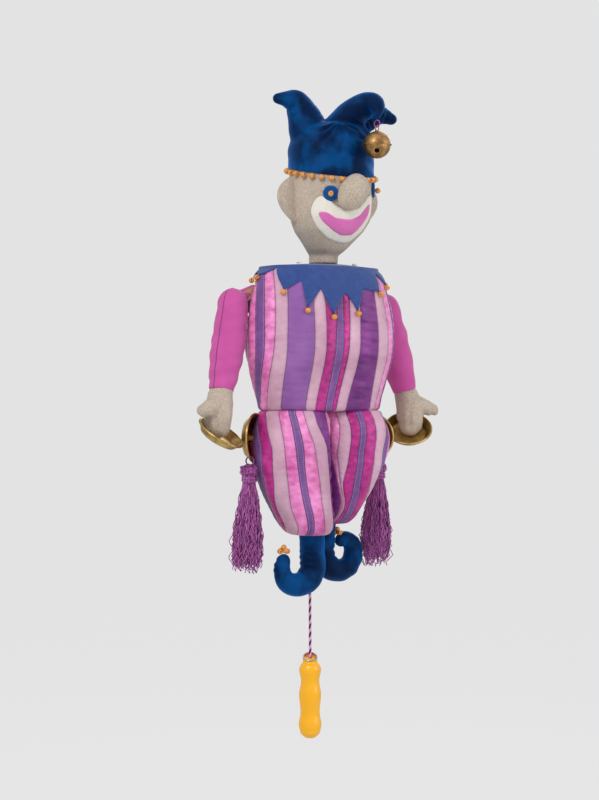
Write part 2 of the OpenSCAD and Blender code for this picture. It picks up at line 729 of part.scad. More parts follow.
module collar() {
    lines = [for (i = [0:collar_k - 1]) concat(collar_line(i, felt_t), [for (p = [5:-1:0]) collar_line(i, 0)[p]])];
    n = len(lines[0]);
    color("darkslateblue") polyhedron(points = [for (l = lines) for (p = l) p],
        faces = [for (i = [0:collar_k - 1]) for (j = [0:n - 1])
            let (a = i * n + j, b = i * n + (j + 1) % n, c = ((i + 1) % collar_k) * n + j,
                d = ((i + 1) % collar_k) * n + (j + 1) % n)
            each [[a, b, c], [b, d, c]]]);
}

module collar_beads() {
    color("orange") for (i = [0:collar_tips - 1])
        let (turn = collar_turn + 360 * i / collar_tips)
        translate(on_torso(turn, tip_z(turn) - bead_d / 2 - 0.1, bead_d / 2 + 0.4)) sphere(d = bead_d, $fn = 20);
}

module collar_snaps() {
    color("dimgray") for (x = [-46, 40])
        translate([x, neck_y - 12, torso_top + 1.1 + felt_t + snap_rise(x)]) rotate([0, -snap_slope(x), 0])
            cylinder(d = 6, h = 1.6);
}
snap_run = torso_half_w * torso_shape[0][1] - neck_r;
function snap_rise(x) = 5 * (1 - (abs(x) - neck_r) / snap_run);
function snap_slope(x) = sign(x) * -atan(5 / snap_run);

// ---- arms ---------------------------------------------------------------------------------------------------------

function shoulder(s) = [s * shoulder_x, core_y, shoulder_z];
// A point on the arm's middle line, at a distance along it from the pin
function arm_at(s, d) = shoulder(s) + [s * d * sin(arm_lean), -arm_forward * d / sleeve_len, -d * cos(arm_lean)];

lever_hole_r = 1.2;
plate_half = 7;
rod_r = 4.5;
rod_from = 24;
rod_into_hand = 26;

function lever_tip(s, a = lever_rise) = [s * (shoulder_x - lever_len * cos(a)), shoulder_z + lever_len * sin(a)];

module plate_outline(s, grow = 0) {
    offset(r = grow) {
        hull() {
            translate([s * shoulder_x, shoulder_z]) circle(r = plate_half, $fn = 32);
            translate(lever_tip(s)) circle(r = plate_half - 1.5, $fn = 32);
        }
        hull() {
            translate([s * shoulder_x, shoulder_z]) circle(r = plate_half, $fn = 32);
            translate([arm_at(s, 34)[0], arm_at(s, 34)[2]]) circle(r = plate_half, $fn = 32);
        }
    }
}

module arm_rod(s, r, from, to) {
    a = arm_at(s, from);
    b = arm_at(s, to);
    d = b - a;
    translate(a) rotate([0, acos(d[2] / norm(d)), atan2(d[1], d[0])]) cylinder(r = r, h = norm(d));
}

module arm_core(s) {
    color("burlywood") difference() {
        union() {
            slab(core_front, core_back) plate_outline(s);
            arm_rod(s, rod_r, rod_from, sleeve_len + rod_into_hand);
        }
        y_rod(s * shoulder_x, shoulder_z, shoulder_pin_d / 2 + pin_gap, core_front - 5, core_back + 5);
        y_rod(lever_tip(s)[0], lever_tip(s)[1], lever_hole_r, core_front - 5, core_back + 5);
    }
}

// Share of the sleeve's length, half width
sleeve_stations = [[0, sleeve_top_r], [0.16, sleeve_top_r + 0.8], [0.35, sleeve_r], [0.6, sleeve_r], [0.82, sleeve_r - 2.5],
    [1, cuff_r]];

module sleeve(s) {
    arm_swing = 60;
    color("mediumvioletred") difference() {
        tube([for (q = sleeve_stations) arm_at(s, q[0] * sleeve_len)], [for (q = sleeve_stations) q[1]],
            [0, 1, 0], 1.02, 24, true, false);
        slab(core_front - soft_gap, core_back + soft_gap) plate_outline(s, soft_gap);
        arm_rod(s, rod_r + soft_gap, rod_from - 1, sleeve_len + 5);
        y_rod(s * shoulder_x, shoulder_z, shoulder_pin_d / 2 + 3 + soft_gap, core_front - 4, board_front + 1);
        slab(board_front - 0.5, board_back + 0.5) hull() {
            translate([s * shoulder_x, shoulder_z]) circle(r = bar_r + 0.5, $fn = 32);
            for (a = [0, arm_swing]) translate([s * (shoulder_x - 48 * cos(a)), shoulder_z + 48 * sin(a)])
                circle(r = bar_r + 0.5, $fn = 32);
        }
    }
}

function wrist(s) = arm_at(s, sleeve_len + soft_gap);

// Middle line of the mitten below the hem, as offsets outward, forward and down
function hand_path(s) = [for (q = [[0, 0, 0], [1.5, 1, 6], [3, 2, 13], [5, 3.5, 21], [6, 4, 29], [6.5, 3.5, 37],
    [6.5, 3, hand_len - 7]]) wrist(s) + [s * q[0], -q[1], -q[2]]];

function hand_face(s) = s == RIGHT ? [0.30, -0.49, 0.82] : [-0.36, -0.56, 0.75];
function cymbal_c(s) = wrist(s) + (s == RIGHT ? [-2.7, -5, -53] : [1.8, -5, -50]);

// Turns +Z of a child to the direction v
module face(v) { rotate([0, acos(v[2] / norm(v)), atan2(v[1], v[0])]) children(); }

module hand(s) {
    thumb = hand_path(s)[2];
    color("wheat") difference() {
        union() {
            chain(hand_path(s), [cuff_r - 1, cuff_r, 16, 16.5, 16.5, 16, 15]);
            chain([thumb + [s * 6, -6, 0], thumb + [s * 18, -14, -8], thumb + [s * 21, -15, -18]], [9, 8, 7]);
        }
        arm_rod(s, 40, sleeve_len - 60, sleeve_len + soft_gap);
        arm_rod(s, rod_r + soft_gap, sleeve_len - 5, sleeve_len + rod_into_hand + 1);
        translate(cymbal_c(s)) face(hand_face(s)) {
            translate([0, 0, -60]) cylinder(r = cymbal_d, h = 60 - cymbal_depth + cymbal_t + soft_gap);
            rivet_shape(soft_gap);
        }
    }
}

module rivet_shape(grow = 0) {
    translate([0, 0, -cymbal_depth - 1]) cylinder(r = cymbal_screw_d / 2 + grow, h = 12);
    translate([0, 0, -cymbal_depth - 2]) cylinder(r = cymbal_screw_d + grow, h = 2);
}

module hand_cymbal(s) { color("goldenrod") translate(cymbal_c(s)) face(-hand_face(s)) cymbal(); }

module cymbal_rivet(s) { color("darkgoldenrod") translate(cymbal_c(s)) face(hand_face(s)) rivet_shape(); }

module right_arm_core() { arm_core(RIGHT); }
module left_arm_core() { arm_core(LEFT); }
module right_sleeve() { sleeve(RIGHT); }
module left_sleeve() { sleeve(LEFT); }
module right_hand() { hand(RIGHT); }
module left_hand() { hand(LEFT); }
module right_hand_cymbal() { hand_cymbal(RIGHT); }
module left_hand_cymbal() { hand_cymbal(LEFT); }
module right_cymbal_rivet() { cymbal_rivet(RIGHT); }
module left_cymbal_rivet() { cymbal_rivet(LEFT); }

// ---- pull cord ----------------------------------------------------------------------------------------------------

knot_z = guide_z + pull_travel + 6;
string_r = 0.7;

module draw_knot() {
    color("plum") {
        translate([0, cord_y, knot_z]) sphere(r = 3.6);
        translate([0, cord_y, guide_z - guide_h]) cylinder(r = cord_d / 2, h = knot_z - guide_z + guide_h);
    }
}

module string(s) {
    a = [lever_tip(s)[0], core_back + core_gap / 2, lever_tip(s)[1]];
    b = [s * 2.6, a[1] - 1, knot_z + 2];
    d = b - a;
    color("plum") translate(a) rotate([0, acos(d[2] / norm(d)), atan2(d[1], d[0])]) cylinder(r = string_r, h = norm(d));
}
module right_arm_string() { string(RIGHT); }
module left_arm_string() { string(LEFT); }

// The free cord, from the guide straight down into the handle: chosen points, as offsets from its middle line
cord_top = guide_z - guide_h;
cord_end = handle_top - 26;
cord_route = [for (q = [[0, 0, 0], [0, 0, 0.05], [0, 0, 0.1], [0.1, 0, 0.16], [0.2, 0, 0.22], [0.3, 0.1, 0.28],
    [0.3, 0.2, 0.34], [0.3, 0.2, 0.4], [0.2, 0.2, 0.46], [0.1, 0.1, 0.52], [0, 0, 0.58], [-0.1, 0, 0.64],
    [-0.2, 0, 0.7], [-0.2, 0, 0.76], [-0.1, 0, 0.82], [0, 0, 0.88], [0, 0, 0.94], [0, 0, 1]])
    [q[0], cord_y + q[1], cord_top + (cord_end - cord_top) * q[2]]];

module pull_cord() {
    color("plum") tube(cord_route, [for (p = cord_route) cord_d / 2], [0, 1, 0], 1, 8, false, false);
}

// Share of the handle's length from its top, share of its greatest half width
handle_shape = [[0, 0.63], [0.11, 0.63], [0.13, 0.82], [0.19, 0.965], [0.335, 0.8], [0.487, 0.965], [0.7, 0.84],
    [0.85, 1], [0.95, 0.86], [1, 0.42]];

// A smooth turned outline through a table of stations
function turned(t, table) = [for (i = [0:len(table) - 2]) if (t >= table[i][0] && t <= table[i + 1][0])
    let (u = (t - table[i][0]) / (table[i + 1][0] - table[i][0]))
    table[i][1] + (table[i + 1][1] - table[i][1]) * (1 - cos(180 * u)) / 2][0];

module handle() {
    bore = cord_d / 2 + 0.25;
    color("gold") difference() {
        translate([0, cord_y, handle_top]) rotate_extrude()
            polygon(concat([[0, 0]], [for (i = [0:36]) [handle_d / 2 * turned(i / 36, handle_shape), -handle_len * i / 36]],
                [[0, -handle_len]]));
        translate([0, cord_y, cord_end]) cylinder(r = bore, h = 60);
        translate([0, cord_y, handle_top - 6]) rotate([0, 0, top_side]) rotate([0, 30, 0])
            translate([-40, -40, 0]) cube(80);
    }
}
// The way that the handle's slanting top faces
top_side = -123;
ring_wire = 0.9;

module handle_ring() {
    color("silver") translate([0, cord_y, handle_top - 6]) rotate([0, 0, top_side]) rotate([0, 30, 0])
        translate([0, 0, ring_wire + soft_gap]) rotate_extrude() translate([ring_d / 2, 0]) circle(r = ring_wire, $fn = 24);
}

// ---- legs ---------------------------------------------------------------------------------------------------------

core_r = 5;

// Middle line of a shoe, as outward and upward offsets from the sole's lowest point under the ankle
function shoe_path(s, p) = [for (q = [[0, leg_len], [0, 60], [-2, 40], [1, 27], [11, 18], [24, 16], [36, 19], [44, 28],
    [46, 40], [43.5, 48]]) [p[0] + s * q[0] * (toe_reach / 55), p[1], p[2] - leg_len + q[1]]];
shoe_r = [ankle_r, ankle_r - 1.5, ankle_r, 15.5, 16, 15, 14, 12, 10.5, 9];

module shoe(s, p) {
    color("midnightblue") difference() {
        tube(shoe_path(s, p), shoe_r, [0, 1, 0], 0.95, 16, true, true);
        translate(p + [0, 0, -42]) cylinder(r = core_r + soft_gap, h = 60);
        translate(p) rotate([0, 90, 0]) cylinder(r = ankle_pin_d / 2 + 0.5, h = 60, center = true);
    }
}

module ankle_core(p) {
    color("burlywood") difference() {
        translate(p + [0, 0, -41.5]) cylinder(r = core_r, h = 41.5 + ankle_r - 3);
        translate(p) rotate([0, 90, 0]) cylinder(r = ankle_pin_d / 2 + pin_gap, h = 60, center = true);
    }
}

module toe_beads(s, p) {
    tip = shoe_path(s, p)[9];
    color("orange") translate(tip + [0, 0, shoe_r[9] + bead_d / 2 - 1.4]) {
        for (q = [[0, 0, 5.4], [5.4, 0, 0.6], [-5.4, 0, 0.6], [0, -5.4, 1.6], [0, 5.4, 1.6]])
            translate(q) sphere(d = bead_d, $fn = 20);
    }
}

module right_shoe() { shoe(RIGHT, right_ankle); }
module left_shoe() { shoe(LEFT, left_ankle); }
module right_ankle_core() { ankle_core(right_ankle); }
module left_ankle_core() { ankle_core(left_ankle); }
module right_toe_beads() { toe_beads(RIGHT, right_ankle); }
module left_toe_beads() { toe_beads(LEFT, left_ankle); }

// ---- tassels ------------------------------------------------------------------------------------------------------

tie_r = 5.4;
tie_wire = 0.8;
// The ring goes through the hole and round the rim, in the plane of the hole's own radius
tie_down = tie_r * wall_run / norm([wall_run, cymbal_depth]);
tie_out = hole_out - tie_r * cymbal_depth / norm([wall_run, cymbal_depth]);
tie_low = hole_r + tie_down + tie_r;
tassel_head_h = 24;

// A child's +Z points up and its origin lies at the lowest point of the ring, from which the tassel hangs
module tassel_at(s) {
    translate(hip_centre(s)) hip_turn(s) translate([tie_low * cos(hole_turn), -s * tie_low * sin(hole_turn), tie_out])
        rotate([0, -90, 0]) children();
}

module tassel_head(s) {
    color("mediumpurple") {
        translate(hip_centre(s)) hip_turn(s) rotate([0, 0, -s * hole_turn]) translate([hole_r + tie_down, 0, tie_out])
            rotate([90, 0, 0]) rotate_extrude() translate([tie_r, 0]) circle(r = tie_wire, $fn = 24);
        tassel_at(s) translate([0, 0, tie_wire - tassel_head_h]) rotate_extrude()
            polygon(concat([[0, 0]], [for (i = [0:16]) [tassel_head_r * turned(i / 16, [[0, 0.72], [0.3, 1], [0.62, 0.98],
                [0.85, 0.85], [1, 0.2]]), tassel_head_h * i / 16]], [[0, tassel_head_h]]));
    }
}

module tassel_skirt(s) {
    h = tassel_len - tassel_head_h + tie_wire;
    color("purple") tassel_at(s) translate([0, 0, -tassel_len]) rotate_extrude()
        polygon(concat([[0, 0]], [for (i = [0:16]) [tassel_skirt_r * turned(i / 16, [[0, 0.75], [0.15, 0.95],
            [0.35, 1], [0.7, 0.78], [1, 0.38]]), h * i / 16]], [[0, h]]));
}

module right_tassel_head() { tassel_head(RIGHT); }
module left_tassel_head() { tassel_head(LEFT); }
module right_tassel_skirt() { tassel_skirt(RIGHT); }
module left_tassel_skirt() { tassel_skirt(LEFT); }

back_board();
hanger_plate();
hanger_screws();
shoulder_pins();
cord_guide();
neck_block();
neck_dowel();
torso_front();
torso_back();
right_trouser();
left_trouser();
hip_blocks();
hip_screws();
ankle_pins();
right_hip_cymbal();
left_hip_cymbal();
collar();
collar_beads();
collar_snaps();
head();
right_ear();
left_ear();
nose();
eye_patches();
eye_beads();
face_patch();
mouth();
hat();
hat_beads();
bell_thread();
bell_top();
bell_bottom();
bell_pellet();
right_arm_core();
right_sleeve();
right_hand();
right_hand_cymbal();
right_cymbal_rivet();
left_arm_core();
left_sleeve();
left_hand();
left_hand_cymbal();
left_cymbal_rivet();
draw_knot();
right_arm_string();
left_arm_string();
pull_cord();
handle();
handle_ring();
right_shoe();
right_ankle_core();
right_toe_beads();
left_shoe();
left_ankle_core();
left_toe_beads();
right_tassel_head();
right_tassel_skirt();
left_tassel_head();
left_tassel_skirt();
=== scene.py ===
# %% [markdown]
# # A cloth jester that claps its cymbals
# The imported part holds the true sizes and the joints. This lesson dresses it: every cloth form is built as
# a skin with seams, ribbons and creases, and every hard piece gets its own finish. Lengths are written in
# millimetres and turned into metres where a mesh is made.

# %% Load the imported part
import json
import math

import bmesh
import bpy
import numpy as np
from mathutils import Matrix, Vector

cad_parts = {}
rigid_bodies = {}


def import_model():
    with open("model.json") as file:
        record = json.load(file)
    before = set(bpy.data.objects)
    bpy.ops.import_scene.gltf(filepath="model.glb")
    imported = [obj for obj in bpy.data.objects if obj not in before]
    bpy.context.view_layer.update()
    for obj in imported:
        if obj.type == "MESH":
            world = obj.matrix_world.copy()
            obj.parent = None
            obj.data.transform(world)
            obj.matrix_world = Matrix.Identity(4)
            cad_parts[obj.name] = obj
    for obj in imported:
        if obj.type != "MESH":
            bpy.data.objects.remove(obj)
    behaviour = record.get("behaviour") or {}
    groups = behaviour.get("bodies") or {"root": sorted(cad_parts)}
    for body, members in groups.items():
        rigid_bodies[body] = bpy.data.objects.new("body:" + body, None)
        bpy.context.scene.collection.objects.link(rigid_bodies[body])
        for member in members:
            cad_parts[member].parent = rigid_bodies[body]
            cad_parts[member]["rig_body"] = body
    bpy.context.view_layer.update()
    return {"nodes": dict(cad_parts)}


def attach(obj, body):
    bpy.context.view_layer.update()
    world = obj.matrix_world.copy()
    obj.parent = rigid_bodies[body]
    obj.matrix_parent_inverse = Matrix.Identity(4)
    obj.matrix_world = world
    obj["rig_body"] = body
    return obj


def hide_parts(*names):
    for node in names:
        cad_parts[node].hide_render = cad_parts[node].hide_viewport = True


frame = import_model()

nodes = frame["nodes"]
MM = 0.001
RIGHT, LEFT = -1, 1

# %% [markdown]
# ## Camera
# The camera stands level, a little to the jester's right, so both the face and the side of the head show.

# %% Camera
CAMERA_TURN = math.radians(33)
CAMERA_PLACE = (-1.3304, -2.0371, -0.1495)
LENS_MM, SENSOR_MM = 83.08, 36
camera_data = bpy.data.cameras.new("camera")
camera_data.lens = LENS_MM
camera_data.sensor_width = SENSOR_MM
camera = bpy.data.objects.new("camera", camera_data)
camera.location = CAMERA_PLACE
camera.rotation_euler = (math.pi / 2, 0, -CAMERA_TURN)
bpy.context.scene.collection.objects.link(camera)
bpy.context.scene.camera = camera
bpy.context.scene.view_settings.view_transform = "Standard"

# %% [markdown]
# ## Lines through stations
# A form is written as a short table of stations. A cubic that never overshoots turns the table into a
# smooth line, and a looser one carries paths through space.


# %% Smooth lines
def cubic(y, m, i, u, h):
    """The cubic between rows i and i + 1 of y, with slopes m, at the share u of a step h."""
    return ((1 + 2 * u) * (1 - u) ** 2 * y[i] + u * (1 - u) ** 2 * h * m[i]
            + u * u * (3 - 2 * u) * y[i + 1] + u * u * (u - 1) * h * m[i + 1])


def through(table, q):
    """Values of a smooth line through a table's rows at the places q, with no overshoot."""
    t = np.asarray(table, float)
    x, y = t[:, 0], t[:, 1:]
    h = np.diff(x)[:, None]
    d = np.diff(y, axis=0) / h
    m = np.empty_like(y)
    same = d[:-1] * d[1:] > 0
    m[1:-1] = np.where(same, 2 * d[:-1] * d[1:] / np.where(same, d[:-1] + d[1:], 1), 0)
    m[0], m[-1] = d[0], d[-1]
    q = np.clip(np.asarray(q, float), x[0], x[-1])
    i = np.clip(np.searchsorted(x, q, side="right") - 1, 0, len(x) - 2)
    u = ((q - x[i]) / (x[i + 1] - x[i]))[:, None]
    return cubic(y, m, i, u, h[i])


def smooth_path(points, count):
    """count points along a rounded path through the given ones."""
    p = np.asarray(points, float)
    s = np.concatenate([[0], np.cumsum(np.linalg.norm(np.diff(p[:, :3], axis=0), axis=1))])
    m = np.gradient(p, s, axis=0)
    q = np.linspace(0, s[-1], count)
    i = np.clip(np.searchsorted(s, q, side="right") - 1, 0, len(s) - 2)
    h = (s[i + 1] - s[i])[:, None]
    u = (q - s[i])[:, None] / h
    return cubic(p, m, i, u, h)


def smoothstep(a, b, x):
    """0 up to a, 1 from b on, and a soft rise between."""
    t = np.clip((x - a) / (b - a), 0, 1)
    return t * t * (3 - 2 * t)


def ripple(x, seed, wave, terms=5):
    """A soft random wave of about one unit height: the sum of a few sines with seeded lengths and phases."""
    rng = np.random.RandomState(seed)
    out = np.zeros_like(np.asarray(x, float))
    for _ in range(terms):
        out += np.sin(2 * math.pi * x / (wave * rng.uniform(0.6, 1.7)) + rng.uniform(0, 6.28))
    return out / math.sqrt(terms)


def turns_of(count):
    """count equal steps of one full turn, in radians."""
    return np.linspace(0, 2 * math.pi, count, endpoint=False)


# %% [markdown]
# ## Skins
# Almost every cloth piece is a sleeve of rings, one above the other. One function turns a block of points
# into a closed mesh, keeps the cloth's own measure in a UV map, and closes both ends with a fan.


# %% Meshes from rings
FAR_FROM_SEAM = 20.0


def make_mesh(name, points, faces):
    """A mesh from points in millimetres."""
    mesh = bpy.data.meshes.new(name)
    mesh.from_pydata((np.asarray(points, float) * MM).tolist(), [], faces)
    mesh.update()
    return mesh


def shade_smooth(mesh):
    mesh.polygons.foreach_set("use_smooth", [True] * len(mesh.polygons))


def show(name, mesh):
    """An object for a mesh, in the scene."""
    piece = bpy.data.objects.new(name, mesh)
    bpy.context.scene.collection.objects.link(piece)
    return piece


def paint(mesh, material):
    mesh.materials.clear()
    mesh.materials.append(material)


def new_piece(name, mesh, material):
    piece = show(name, mesh)
    paint(mesh, material)
    shade_smooth(mesh)
    return piece


def face_outward(piece):
    bm = bmesh.new()
    bm.from_mesh(piece.data)
    bmesh.ops.recalc_face_normals(bm, faces=bm.faces)
    bm.to_mesh(piece.data)
    bm.free()


def skin(name, rings, material, across=None, along=None, seam=None):
    """A closed skin through rings of equal count. across and along are its UVs, seam the way to a seam."""
    rings = np.asarray(rings, float)
    rows, cols = rings.shape[:2]
    points = rings.reshape(-1, 3).tolist()
    faces = [(r * cols + c, r * cols + (c + 1) % cols, (r + 1) * cols + (c + 1) % cols, (r + 1) * cols + c)
             for r in range(rows - 1) for c in range(cols)]
    quads = len(faces)
    for row in (0, rows - 1):
        hub = len(points)
        points.append(rings[row].mean(axis=0).tolist())
        for c in range(cols):
            a, b = row * cols + c, row * cols + (c + 1) % cols
            faces.append((hub, b, a) if row == 0 else (hub, a, b))
    mesh = make_mesh(name, points, faces)
    if across is not None:
        layer = mesh.uv_layers.new(name="cloth")
        across, along = np.asarray(across, float), np.asarray(along, float)
        uv = np.zeros((len(mesh.loops), 2))
        r, c = np.divmod(np.arange(quads), cols)
        for k, (dr, dc) in enumerate(((0, 0), (0, 1), (1, 1), (1, 0))):
            uv[4 * np.arange(quads) + k, 0] = across[r + dr, c + dc]
            uv[4 * np.arange(quads) + k, 1] = along[r + dr, np.minimum(c + dc, cols - 1)]
        at = 4 * quads
        for row in (0, rows - 1):
            for c in range(cols):
                uv[at:at + 3] = (across[row, c], along[row, 0])
                at += 3
        layer.data.foreach_set("uv", uv.ravel())
    if seam is not None:
        held = mesh.attributes.new("seam", "FLOAT", "POINT")
        values = np.full(len(points), FAR_FROM_SEAM * MM)
        values[:rows * cols] = np.asarray(seam, float).ravel() * MM
        held.data.foreach_set("value", values)
    piece = new_piece(name, mesh, material)
    face_outward(piece)
    return piece


def subdivide(piece):
    mod = piece.modifiers.new("smooth", "SUBSURF")
    mod.levels = mod.render_levels = 1


def bake(piece):
    """Turns a piece with its modifiers into a plain mesh."""
    bpy.context.view_layer.update()
    graph = bpy.context.evaluated_depsgraph_get()
    mesh = bpy.data.meshes.new_from_object(piece.evaluated_get(graph), depsgraph=graph)
    old = piece.data
    piece.modifiers.clear()
    piece.data = mesh
    bpy.data.meshes.remove(old)


def surface_of(piece):
    """Its points in millimetres, and the direction that the surface faces at each."""
    held = {}
    for key in ("co", "normal"):
        held[key] = np.zeros(len(piece.data.vertices) * 3)
        piece.data.vertices.foreach_get(key, held[key])
    return held["co"].reshape(-1, 3) / MM, held["normal"].reshape(-1, 3)


def move_to(piece, points):
    piece.data.vertices.foreach_set("co", (points * MM).ravel())
    piece.data.update()


# %% [markdown]
# ## Writing finishes as sums
# A shader tree is easier to read as arithmetic. A small class wraps a socket so that plus, minus and times
# add Math nodes, and one method makes any other node.


# %% The finish writer
def srgb(r, g, b):
    def part(v):
        v /= 255
        return v / 12.92 if v <= 0.04045 else ((v + 0.055) / 1.055) ** 2.4
    return (part(r), part(g), part(b), 1)


class Flow:
    """A shader socket that takes part in sums."""

    def __init__(self, finish, socket):
        self.finish, self.socket = finish, socket

    def _math(self, operation, a, b=0.0):
        return self.finish.node("ShaderNodeMath", {0: a, 1: b}, {"operation": operation})

    def __add__(self, other):
        return self._math("ADD", self, other)

    def __radd__(self, other):
        return self._math("ADD", other, self)

    def __sub__(self, other):
        return self._math("SUBTRACT", self, other)

    def __rsub__(self, other):
        return self._math("SUBTRACT", other, self)

    def __mul__(self, other):
        return self._math("MULTIPLY", self, other)

    def __rmul__(self, other):
        return self._math("MULTIPLY", other, self)

    def __truediv__(self, other):
        return self._math("DIVIDE", self, other)

    def sin(self):
        return self._math("SINE", self)

    def floor(self):
        return self._math("FLOOR", self)

    def fract(self):
        return self._math("FRACT", self)

    def above(self, edge, soft=0.001):
        """0 below edge, 1 above it, with a soft step between."""
        return self.finish.node("ShaderNodeMapRange",
                                {"Value": self, "From Min": edge - soft, "From Max": edge + soft},
                                {"interpolation_type": "SMOOTHSTEP"})


class Nodes:
    """A node tree that grows node by node."""

    def __init__(self, owner):
        owner.use_nodes = True
        self.tree = owner.node_tree
        self.tree.nodes.clear()

    def node(self, kind, inputs=None, settings=None, output=0):
        n = self.tree.nodes.new(kind)
        for key, value in (settings or {}).items():
            setattr(n, key, value)
        for key, value in (inputs or {}).items():
            if isinstance(value, Flow):
                self.tree.links.new(value.socket, n.inputs[key])
            else:
                n.inputs[key].default_value = value
        return Flow(self, n.outputs[output])

    def end(self, kind, surface):
        self.tree.links.new(surface.socket, self.tree.nodes.new(kind).inputs["Surface"])


class Finish(Nodes):
    """One material, built from its nodes."""

    def __init__(self, name):
        self.material = bpy.data.materials.new(name)
        super().__init__(self.material)
        self.place = self.node("ShaderNodeTexCoord", output="Object")

    def noise(self, scale, detail=2.0, stretch=None):
        where = self.place
        if stretch:
            where = self.node("ShaderNodeMapping", {"Vector": where, "Scale": stretch})
        return self.node("ShaderNodeTexNoise", {"Vector": where, "Scale": scale, "Detail": detail})

    def mix(self, share, a, b):
        return self.node("ShaderNodeMix", {0: share, 6: a, 7: b}, {"data_type": "RGBA"}, 2)

    def steps(self, share, colours):
        """A colour for each of several equal steps of share."""
        flow = self.node("ShaderNodeValToRGB", {0: share})
        ramp = flow.socket.node.color_ramp
        ramp.interpolation = "CONSTANT"
        ramp.elements[1].position = 1 / len(colours)
        for i in range(2, len(colours)):
            ramp.elements.new(i / len(colours))
        for i, colour in enumerate(colours):
            ramp.elements[i].color = colour
        return flow

    def parts(self, vector):
        n = self.node("ShaderNodeSeparateXYZ", {0: vector}).socket.node
        return [Flow(self, o) for o in n.outputs]

    def bump(self, height, depth, strength=1.0):
        """height in 0..1 raises the surface by up to depth millimetres."""
        return self.node("ShaderNodeBump", {"Height": height, "Distance": depth * MM, "Strength": strength})

    def seam(self):
        """The distance to the nearest seam, in metres."""
        return self.node("ShaderNodeAttribute", settings={"attribute_name": "seam"}, output="Fac")

    def cloth_map(self):
        """The cloth's own measure, across and along."""
        return self.parts(self.node("ShaderNodeUVMap", settings={"uv_map": "cloth"}))[:2]

    def done(self, **sockets):
        named = {key.replace("_", " "): value for key, value in sockets.items()}
        named["Specular IOR Level"] = named.pop("Specular", 0.5)
        self.end("ShaderNodeOutputMaterial", self.node("ShaderNodeBsdfPrincipled", named))
        return self.material


# %% [markdown]
# ## Cloth finishes
# Linen is a mottled yarn weave, velvet is dark face-on and bright at a slant, and felt is a fuzz of matted
# fibres. Each is colour variation plus a bump at the size of its own yarn or pile; the velvet's brightening
# at a slant is painted sheen in its base colour.


# %% Linen, velvet, felt, sleeve cloth and satin
def linen_finish():
    f = Finish("linen")
    yarn = f.noise(560, 4)
    patch = f.noise(28, 2)
    x, y, z = f.parts(f.place)
    weave = ((x + y) * 4200).sin() * (z * 4600).sin() * 0.5 + 0.5
    tone = yarn * 0.9 + patch * 0.35 + weave * 0.12 - 0.2
    colour = f.mix(tone, srgb(118, 102, 86), srgb(230, 214, 197))
    return f.done(Base_Color=colour, Roughness=0.95, Specular=0.1, Sheen_Weight=0.15, Sheen_Roughness=0.6,
                  Normal=f.bump(yarn * 0.7 + weave * 0.3, 0.8, 0.7))


def velvet_finish():
    f = Finish("velvet")
    crush = f.noise(26, 3)
    pile = f.noise(900, 2)
    # painted sheen: the base colour turns from dark navy to bright blue as the surface slants away from the
    # camera; the crush patches are random pile tone
    slant_sheen = f.node("ShaderNodeLayerWeight", {"Blend": 0.35}, output=1)
    tone = crush.above(0.56, 0.12) * 0.35 + slant_sheen * slant_sheen * 1.1
    colour = f.mix(tone, srgb(0, 26, 62), srgb(0, 104, 186))
    return f.done(Base_Color=colour, Roughness=0.5, Specular=0.06, Sheen_Weight=0.12, Sheen_Roughness=0.25,
                  Sheen_Tint=srgb(10, 120, 215), Normal=f.bump(crush * 0.8 + pile * 0.2, 2.4, 1.0))


def felt_finish(name, dark, light):
    f = Finish(name)
    fibre = f.noise(700, 4)
    patch = f.noise(120, 2)
    colour = f.mix(fibre * 0.7 + patch * 0.5 - 0.1, dark, light)
    return f.done(Base_Color=colour, Roughness=1.0, Specular=0.1, Sheen_Weight=0.3, Sheen_Roughness=0.5,
                  Normal=f.bump(fibre * 0.7 + patch * 0.3, 0.7, 0.8))


def sleeve_finish():
    f = Finish("sleeve_cloth")
    x, _, z = f.parts(f.place)
    twill = ((x + z) * 5200).sin() * 0.5 + 0.5
    fade = f.noise(45, 2)
    colour = f.mix(twill * 0.3 + fade * 0.6, srgb(184, 70, 144), srgb(220, 104, 180))
    # painted shade: the colour darkens towards deep purple within about a millimetre of the sleeve's seam,
    # where it sinks in; the same mask also sinks the bump
    seam_groove_shade = 1 - f.seam().above(0.0007, 0.0005)
    colour = f.mix(seam_groove_shade * 0.7, colour, srgb(96, 30, 78))
    return f.done(Base_Color=colour, Roughness=0.85, Specular=0.1, Sheen_Weight=0.2, Sheen_Roughness=0.5,
                  Normal=f.bump(twill * 0.5 - seam_groove_shade, 0.5, 0.6))


def satin_finish():
    f = Finish("satin_pink")
    weave = f.noise(500, 2, stretch=(1, 1, 0.2))
    fold = f.noise(60, 2)
    # painted shade and highlight: the pink is lighter on the raised folds and darker in their hollows,
    # following the fold noise that also drives the bump
    colour = f.mix(fold * 0.8 + weave * 0.2, srgb(196, 76, 158), srgb(232, 118, 196))
    return f.done(Base_Color=colour, Roughness=0.38, Specular=0.6, Sheen_Weight=0.2,
                  Normal=f.bump(fold * 0.6 + weave * 0.4, 0.6, 0.5))


linen = linen_finish()
velvet = velvet_finish()
felt_navy = felt_finish("felt_navy", srgb(34, 54, 112), srgb(66, 94, 160))
felt_blue = felt_finish("felt_blue", srgb(2, 48, 106), srgb(16, 94, 168))
felt_white = felt_finish("felt_white", srgb(214, 209, 196), srgb(240, 237, 228))
sleeve_cloth = sleeve_finish()
satin_pink = satin_finish()

# %% [markdown]
# ## Ribbon stripes
# The body is sewn from ribbons. The U of the cloth map counts ribbons, so its whole part picks the colour
# and its fraction says how far across one ribbon a point lies. A seam attribute gives the distance to the
# nearest stitching.

# %% The ribbon stock
PINK, VIOLET, DUSTY, WIDE, MAGENTA, PURPLE, ROSE = range(7)
